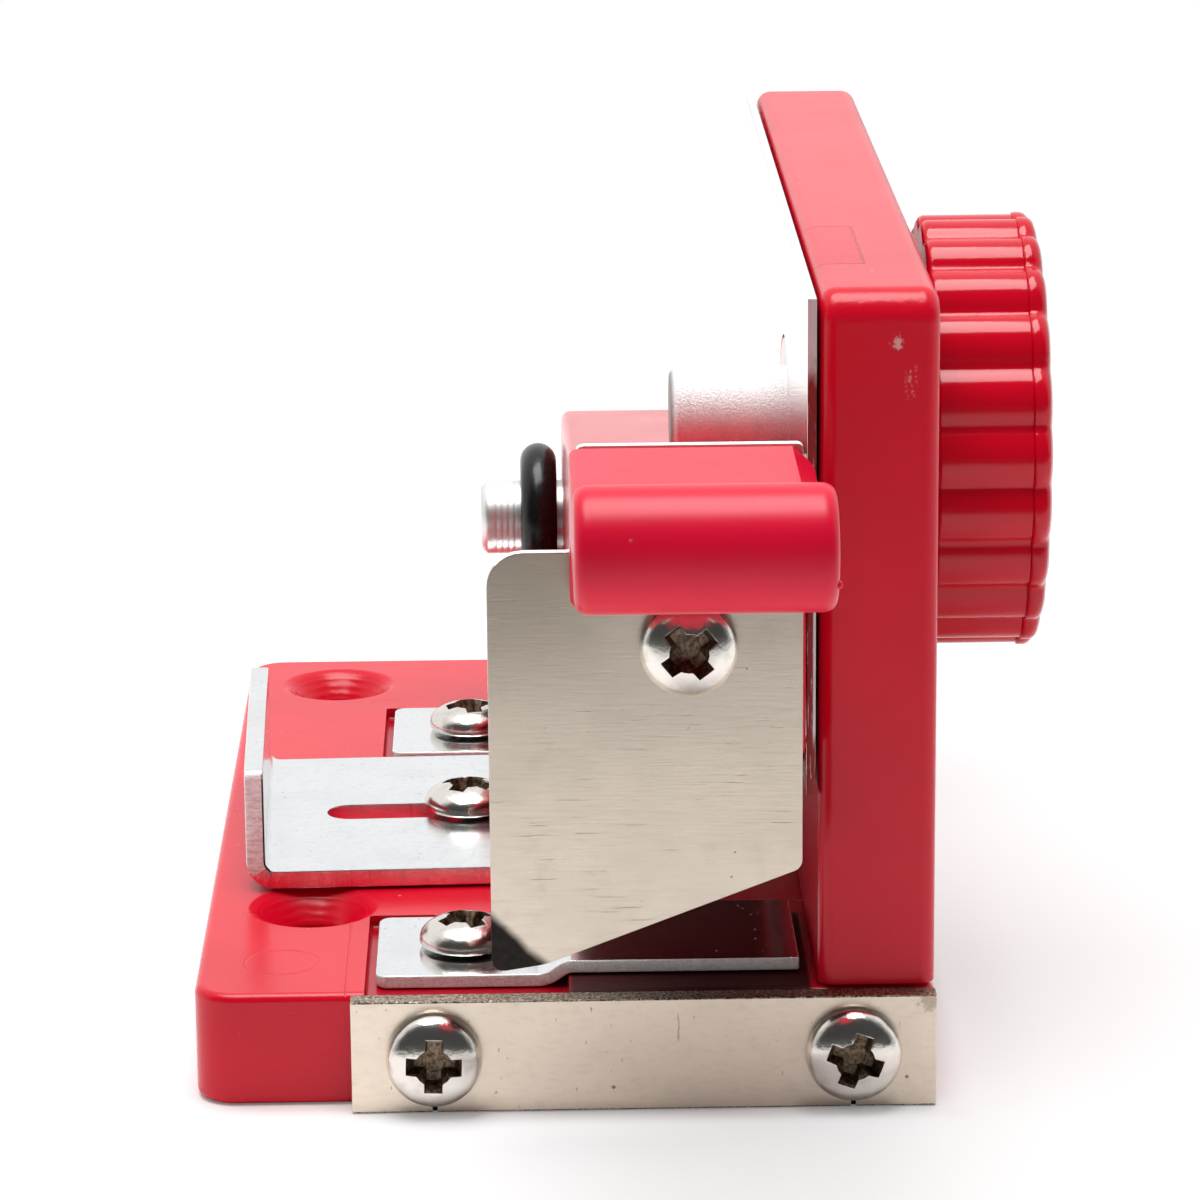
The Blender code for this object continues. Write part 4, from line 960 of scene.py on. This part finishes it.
def makeGuide():
    lowY, highY = guide["y"]
    middle = (lowY + highY) / 2
    thick = guide["thickness"]
    # the sheet's outer side runs down the flange and along the underside
    bottom = guide["top"] - thick
    stations = [(guide["left"], guide["flangeTop"]), (guide["left"], bottom), (guide["right"], bottom)]
    bm = bentSheet(stations, lowY, highY, guide["bend"])
    cornersAt(bm, lambda co: co.z > guide["flangeTop"] - 0.1, guide["corner"])
    cornersAt(bm, lambda co: co.x > guide["right"] - 0.1, 0.5)
    turnFlat(bm, -1.0)
    piece = loose(bm, "stripGuide")
    thickWall(piece, thick)
    bake(piece)
    lowX, highX = guide["slotX"]
    half = guide["slotWidth"] / 2
    ends = [(lowX, -half), (highX, -half), (highX, half), (lowX, half)]
    slot = sheetFace([(x, y, half * 0.999) for x, y in ends])
    thicken(slot, 6.0)
    joined(piece, [placed(slot, "up", (0.0, middle, 8.0))])
    pivot = Matrix.Translation(Vector((*guide["screw"], 0.0)) * mm)
    piece.data.transform(pivot @ Matrix.Rotation(math.radians(guide["turn"]), 4, "Z") @ pivot.inverted())
    finished(piece, "guide", "guide", ["strip_guide"], edge=0.16, clamp=False)
    painted(piece, "guideShear", lambda place, way: abs(way.y) > 0.6 or (way.x > 0.6 and place.x > -2.0))
    inner = guide["left"] + thick
    top = guide["top"]

    def nearEnd(place, way):
        return way.y < -0.6 and place.x < inner and place.z > top

    def innerRim(place, way):
        facing = way.y < -0.2 and max(way.x, way.z) > 0.2
        return facing and place.x < inner + 1.0 and top - 0.1 < place.z < guide["flangeTop"] - 0.9

    # painted reflection and glints on the flange's near end
    painted(piece, "flangeShearReflection", nearEnd)
    # painted shade along the inner rim of the flange's near end
    painted(piece, "gap", innerRim)


makeGuide()
print("guide made")


shaft = {
    "radius": 3.7,
    "tip": -7.15,
    "back": 29.25,
    "chamfer": 0.55,
    "grooves": 4,
    "grooveStart": 1.5,
    "groovePitch": 0.62,
    "ringRadius": 1.825,
    "ringX": -1.275,
}


def makeShaft():
    r, c = shaft["radius"], shaft["chamfer"]
    length = shaft["back"] - shaft["tip"]
    profile = [(0.0, length), (r, length)]
    for i in range(shaft["grooves"]):
        h = shaft["grooveStart"] + i * shaft["groovePitch"]
        profile[2:2] = [(r, h + 0.26), (r - 0.03, h + 0.18), (r - 0.03, h + 0.08), (r, h)]
    profile += [(r, c + 0.2), (r - 0.08, c), (r - c, 0.06), (r - c - 0.15, 0.0), (0.0, 0.0)]
    bm = onAxis(turned(profile, 72), shaft["tip"], "lever")
    finished(loose(bm, "pivotRod"), "shaft", "frame", ["pivot_shaft"], smooth=30.0)


def makeRing():
    minor = shaft["ringRadius"]
    major = shaft["radius"] + 0.15 + minor
    bm = bmesh.new()
    bmesh.ops.create_circle(bm, segments=28, radius=minor)
    bmesh.ops.rotate(bm, matrix=Matrix.Rotation(math.pi / 2, 3, "X"), verts=bm.verts)
    bmesh.ops.translate(bm, vec=(major, 0.0, 0.0), verts=bm.verts)
    onAxis(spun(bm, bm.verts[:] + bm.edges[:], 72, 0.001), shaft["ringX"], "lever")
    finished(loose(bm, "shaftRing"), "rubber", "frame", ["shaft_ring"], smooth=180.0)


makeShaft()
makeRing()
print("shaft made")


arm = {
    "x": (1.15, 20.35),
    "hub": 10.7,
    "front": -57.47,
    "frontTop": 54.75,
    "frontBottom": 31.95,
    "edge": 0.9,
}


def tangent(height, hub, reach):
    # slope of a line that starts at this height and just touches the hub
    slope = math.atan2(height - hub, reach)
    for i in range(12):
        slope = math.atan((height - hub / math.cos(slope)) / reach)
    return slope


def makeArm():
    pivotY, pivotZ = axes["lever"]
    hub = arm["hub"]
    front = arm["front"] - pivotY
    top = arm["frontTop"] - pivotZ
    low = arm["frontBottom"] - pivotZ
    over = tangent(top, hub, -front)
    under = tangent(low, -hub, -front)
    farTop = hub / math.cos(over) - hub * math.tan(over)
    farLow = -hub / math.cos(under) - hub * math.tan(under)
    # outline in (Y, Z) about the pivot; the two far corners round into the hub
    bm = sheetFace([(front, low, 0.0), (hub, farLow, hub), (hub, farTop, hub), (front, top, 0.0)])
    thicken(bm, arm["x"][1] - arm["x"][0])
    bmesh.ops.remove_doubles(bm, verts=bm.verts, dist=0.01)
    softEdges(bm, arm["edge"], 4, 50.0)
    piece = loose(placed(bm, "side", (arm["x"][0], pivotY, pivotZ)), "leverArm")
    joined(piece, [bored("shaft", -5.0, 25.0, "lever"), bored("spring", 9.95, 25.0, "lever")])
    finished(piece, "red", "lever", ["lever_arm"])
    # painted shade: the arm's underside is given a darkened red
    painted(piece, "shadedUnderRed", lambda place, way: way.z < -0.9 and place.y < 20.0)


makeArm()
print("arm made")


blade = {
    "back": -57.72,
    "thickness": 1.0,
    "left": -6.1,
    "right": 20.0,
    "tip": 13.9,
    "point": (-1.6, 14.6),
    "rightLow": 22.8,
    "neckLeft": 1.15,
    "top": 59.3,
    "shoulder": 50.35,
}


def makeBlade():
    left, right = blade["left"], blade["right"]
    corners = [
        (left, blade["tip"], 1.0),
        (*blade["point"], 6.0),
        (right, blade["rightLow"], 1.0),
        (right, blade["top"], 0.5),
        (blade["neckLeft"], blade["top"], 0.9),
        (blade["neckLeft"], blade["shoulder"], 0.7),
        (left, blade["shoulder"], 3.0),
    ]
    bm = thicken(sheetFace(corners), blade["thickness"])
    softEdges(bm, 0.1, 2, 55.0)
    piece = loose(placed(bm, "near", (0.0, blade["back"], 0.0)), "movingBlade")
    finished(piece, "blade", "lever", ["moving_blade"])
    # painted highlight: the blade's top edge gets the white edge finish
    painted(piece, "plateShearHighlight", lambda place, way: way.z > 0.6)


makeBlade()
print("blade made")


handle = {
    "x": (0.75, 20.75),
    "back": -58.97,
    "front": -62.37,
    "bottom": 46.4,
    "top": 59.3,
    "rootBottom": 52.3,
    "bar": (-87.97, 58.1),
    "barRadius": 4.95,
    "edge": 0.75,
    "barEdge": 1.25,
    "chamfer": 1.75,
    "nub": (20.68, -91.6, 56.1),
}


def makeHandle():
    lowX, highX = handle["x"]
    width = highX - lowX
    barY, barZ = handle["bar"]
    back, front, top = handle["back"], handle["front"], handle["top"]
    bottom, rootBottom = handle["bottom"], handle["rootBottom"]
    corners = [(back, bottom, 0.0), (back, top, 0.0), (barY, top, 0.0), (barY, rootBottom + 1.7, 0.0),
               (front, rootBottom, 0.8), (front, bottom, 0.0)]
    root = thicken(sheetFace(corners), width)
    softEdges(root, handle["edge"], 4, 55.0)
    piece = loose(placed(root, "side", (lowX, 0.0, 0.0)), "handleBar")
    radius = handle["barRadius"]
    end = width + 0.02
    profile = eased([(0.0, end), (radius, end), (radius, -0.02), (0.0, -0.02)], handle["barEdge"], 7)
    bar = placed(turned(profile, 96), "right", (lowX, barY, barZ))
    cut, over = handle["chamfer"] + 0.3, 0.3
    wedge = [(highX - cut, top + over, 0.0), (highX + over, top - cut, 0.0), (highX + over, top + over, 0.0)]
    wedge = thicken(sheetFace(wedge), back + 0.5 - (barY + radius))
    joined(piece, [placed(wedge, "near", (0.0, back + 0.5, 0.0))])
    nub = turned([(0.0, 0.3), (0.2, 0.26), (0.32, 0.14), (0.36, -0.3), (0.0, -0.3)], 24)
    joined(piece, [bar, placed(nub, "right", handle["nub"])], "UNION")
    finished(piece, "handleRed", "lever", ["handle"], smooth=30.0)


makeHandle()
print("handle made")


knob = {
    "x": (32.75, 42.95),
    "radius": 19.5,
    "flutes": 22,
    "depth": 1.0,
    "perFlute": 14,
    "lead": 11.2,            # turn of the flutes, in degrees
    "rimStart": 8.6,
    "step": 0.2,
    "dish": 13.5,
    "dishDepth": 4.2,
}


def ringUp(bm, face, rise, grow):
    # raise a cap, then grow or shrink it radially
    made = bmesh.ops.extrude_face_region(bm, geom=[face])
    verts = newVerts(made)
    cap = [f for f in made["geom"] if isinstance(f, bmesh.types.BMFace)][0]
    bmesh.ops.delete(bm, geom=[face], context="FACES_ONLY")
    bmesh.ops.translate(bm, vec=(0.0, 0.0, rise), verts=verts)
    for vert in verts:
        reach = math.hypot(vert.co.x, vert.co.y)
        vert.co.x *= (reach + grow) / reach
        vert.co.y *= (reach + grow) / reach
    return cap


def makeKnob():
    count = knob["flutes"] * knob["perFlute"]
    radius = knob["radius"]
    bm = bmesh.new()
    bmesh.ops.create_circle(bm, cap_ends=True, segments=count, radius=radius)
    for vert in bm.verts:
        angle = math.atan2(vert.co.y, vert.co.x)
        share = ((angle - math.radians(knob["lead"])) * knob["flutes"] / math.tau) % 1.0
        lobe = math.sin(math.pi * share) ** 0.75
        vert.co *= (radius - knob["step"] - knob["depth"] * (1.0 - lobe)) / radius
        vert.co *= (vert.co.length - 0.6) / vert.co.length
    cap = bm.faces[:][0]
    bmesh.ops.duplicate(bm, geom=[cap])
    width = knob["x"][1] - knob["x"][0]
    rim = knob["rimStart"]
    rises = [(0.25, 0.42), (0.35, 0.18), (rim - 0.75, 0.0), (0.1, -0.08), (0.05, 0.2), (0.15, 0.08),
             (width - rim - 1.05, 0.0), (0.35, -0.1), (0.3, -0.28), (0.25, -0.62)]
    for rise, grow in rises:
        cap = ringUp(bm, cap, rise, grow)
    piece = loose(onAxis(cleaned(bm, 0.001), knob["x"][0], "knob"), "knobBody")
    dish, depth = knob["dish"], knob["dishDepth"]
    profile = [(0.0, 2.0), (dish + 1.0, 2.0), (dish + 0.4, 0.0), (dish, -0.4), (dish - 1.2, -depth + 0.5),
               (dish - 1.7, -depth), (0.0, -depth)]
    joined(piece, [onAxis(turned(profile, 96), knob["x"][1], "knob"), bored("screw", 30.0, 45.0, "knob"),
                   bored("spindle", 30.0, 35.75, "knob")])
    finished(piece, "knobRed", "knob_assembly", ["knob"], smooth=42.0)


spindle = {"start": 20.7, "shape": (14.8, 4.5, 8.5, 5.05)}      # length, radius, flange radius, flange end
washer = {"start": 32.0, "shape": (0.5, 8.0)}      # thickness, radius
stopPin = {"place": (10.25, -21.0, 53.5), "shape": (13.2, 4.0, 0.6)}      # length, radius, chamfer


def makeSpindle():
    length, radius, flange, end = spindle["shape"]
    corners = [(0.0, length), (radius, length), (radius, end), (flange, end), (flange, 0.0), (0.0, 0.0)]
    profile = eased(corners, 0.25, 3)
    piece = loose(onAxis(turned(profile, 72), spindle["start"], "knob"), "knobSpindle")
    finished(piece, "shaft", "knob_assembly", ["knob_spindle"], smooth=30.0)


def makeWasher():
    hole = bores["spindle"]
    thick, radius = washer["shape"]
    bm = turned([(hole, thick), (radius, thick), (radius, 0.0), (hole, 0.0), (hole, thick)])
    piece = loose(onAxis(bm, washer["start"], "knob"), "knobWasher")
    finished(piece, "zinc", "frame", ["knob_washer"])


def makeStopPin():
    length, radius, cut = stopPin["shape"]
    corners = [(0.0, length), (radius, length), (radius, cut), (radius - cut, 0.0), (0.0, 0.0)]
    profile = eased(corners, 0.15, 3)
    piece = loose(placed(turned(profile, 72), "right", stopPin["place"]), "stopPin")
    finished(piece, "pin", "knob_assembly", ["stop_pin"], smooth=30.0)


makeKnob()
makeSpindle()
makeWasher()
makeStopPin()
print("knob made")


# the return spring is shown by its solid
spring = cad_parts["return_spring"]
spring.data.materials.clear()
spring.data.materials.append(looks["spring"])


studio = {
    "floor": 4000.0,
    "floorDrop": -0.00005,
    "floorTone": 0.92,
    "floorGlow": 0.6,
    "glowReach": (120.0, 500.0),
    "contact": (31.75, 53.6, -1.15),      # half sizes of the footprint and its middle
    "contactReach": (4.0, -0.5),
    "contactShare": 0.75,
    "farFloor": (-100.0, -310.0, 0.10),      # glossy surfaces see the floor darken towards the camera
    "ambient": 0.75,
    "front": (0.1, -0.42),      # bright behind the object and at its sides, dark on the camera's side
    "frontTone": 0.06,          # what glossy surfaces see of the studio behind the camera
    "frontFill": 0.22,          # what matt surfaces get from there
    "keyPower": 8.0,
    "keySize": 0.56,
    "keyPlace": (-0.06, -0.02, 0.85),
    "keyAim": (0.0, 0.0, 0.03),
}


def makeFloor():
    bm = bmesh.new()
    bmesh.ops.create_grid(bm, x_segments=2, y_segments=2, size=studio["floor"])
    floor = loose(bm, "floor")
    floor.location.z = studio["floorDrop"]
    tone = studio["floorTone"]
    look = Finish("pale floor", (tone, tone, tone), 0.6)
    glow = look.add("ShaderNodeEmission")
    camera = look.add("ShaderNodeLightPath", out="Is Camera Ray")
    glossy = look.add("ShaderNodeLightPath", out="Is Glossy Ray")
    x, y, z = look.parts(look.spot)
    away = look.ease(look.away(x, y, (0.0, 0.0)), *studio["glowReach"])
    halfX, halfY, middleY = studio["contact"]
    gap = look.larger(abs(x) - halfX, abs(y - middleY) - halfY)
    contact = 1.0 - look.ease(gap, *studio["contactReach"]) * studio["contactShare"]
    share = camera * contact * (studio["floorGlow"] + away * (1.0 - studio["floorGlow"]))
    blend = look.add("ShaderNodeMixShader", None, [share, Wire(look, look.shader.outputs[0]), glow])
    near, far, dim = studio["farFloor"]
    shade = look.add("ShaderNodeEmission", None, {"Color": (dim, dim, dim)})
    blend = look.add("ShaderNodeMixShader", None, [glossy * look.ease(y, near, far), blend, shade])
    look.tree.links.new(blend.socket, look.tree.nodes["Material Output"].inputs["Surface"])
    floor.data.materials.append(look.material)


def makeWorld():
    world = bpy.data.worlds.new("studio")
    bpy.context.scene.world = world
    world.use_nodes = True
    shell = Graph(world.node_tree)
    background = shell.tree.nodes["Background"]
    x, y, z = shell.parts(shell.add("ShaderNodeTexCoord", out="Generated"))
    front = shell.ease(y, *studio["front"])
    tone = 1.0 - front * (1.0 - studio["frontTone"])
    camera = shell.add("ShaderNodeLightPath", out="Is Camera Ray")
    glossy = shell.add("ShaderNodeLightPath", out="Is Glossy Ray")
    matt = (1.0 - front * (1.0 - studio["frontFill"])) * studio["ambient"]
    level = tone * glossy + matt * (1.0 - glossy)
    level = camera + (1.0 - camera) * level
    shell.tree.links.new(level.socket, background.inputs["Strength"])
    background.inputs["Color"].default_value = (1.0, 1.0, 1.0, 1.0)


def makeLights():
    data = bpy.data.lights.new("key", "AREA")
    data.energy = studio["keyPower"]
    data.size = studio["keySize"]
    lamp = linked("key", data)
    lamp.location = studio["keyPlace"]
    aim = Vector(studio["keyAim"]) - Vector(studio["keyPlace"])
    lamp.rotation_euler = aim.to_track_quat("-Z", "Y").to_euler()


view = {
    "lens": 146.03,
    "sensor": 36.0,
    "clip": (0.01, 20.0),
    "place": (-3.50, -445.36, 150.78),
    "angles": (15.124, 1.0, -0.487),      # down, to the right and rolled, in degrees
}


def makeCamera():
    data = bpy.data.cameras.new("camera")
    data.lens = view["lens"]
    data.sensor_width = view["sensor"]
    data.clip_start, data.clip_end = view["clip"]
    camera = linked("camera", data)
    pitch, yaw, roll = (math.radians(angle) for angle in view["angles"])
    turn = Matrix.Rotation(-yaw, 4, "Z") @ Matrix.Rotation(math.pi / 2 - pitch, 4, "X")
    turn = turn @ Matrix.Rotation(roll, 4, "Z")
    camera.matrix_world = Matrix.Translation(Vector(view["place"]) * mm) @ turn
    bpy.context.scene.camera = camera


makeFloor()
makeWorld()
makeLights()
makeCamera()
bpy.context.scene.view_settings.view_transform = "Standard"
print("studio made")
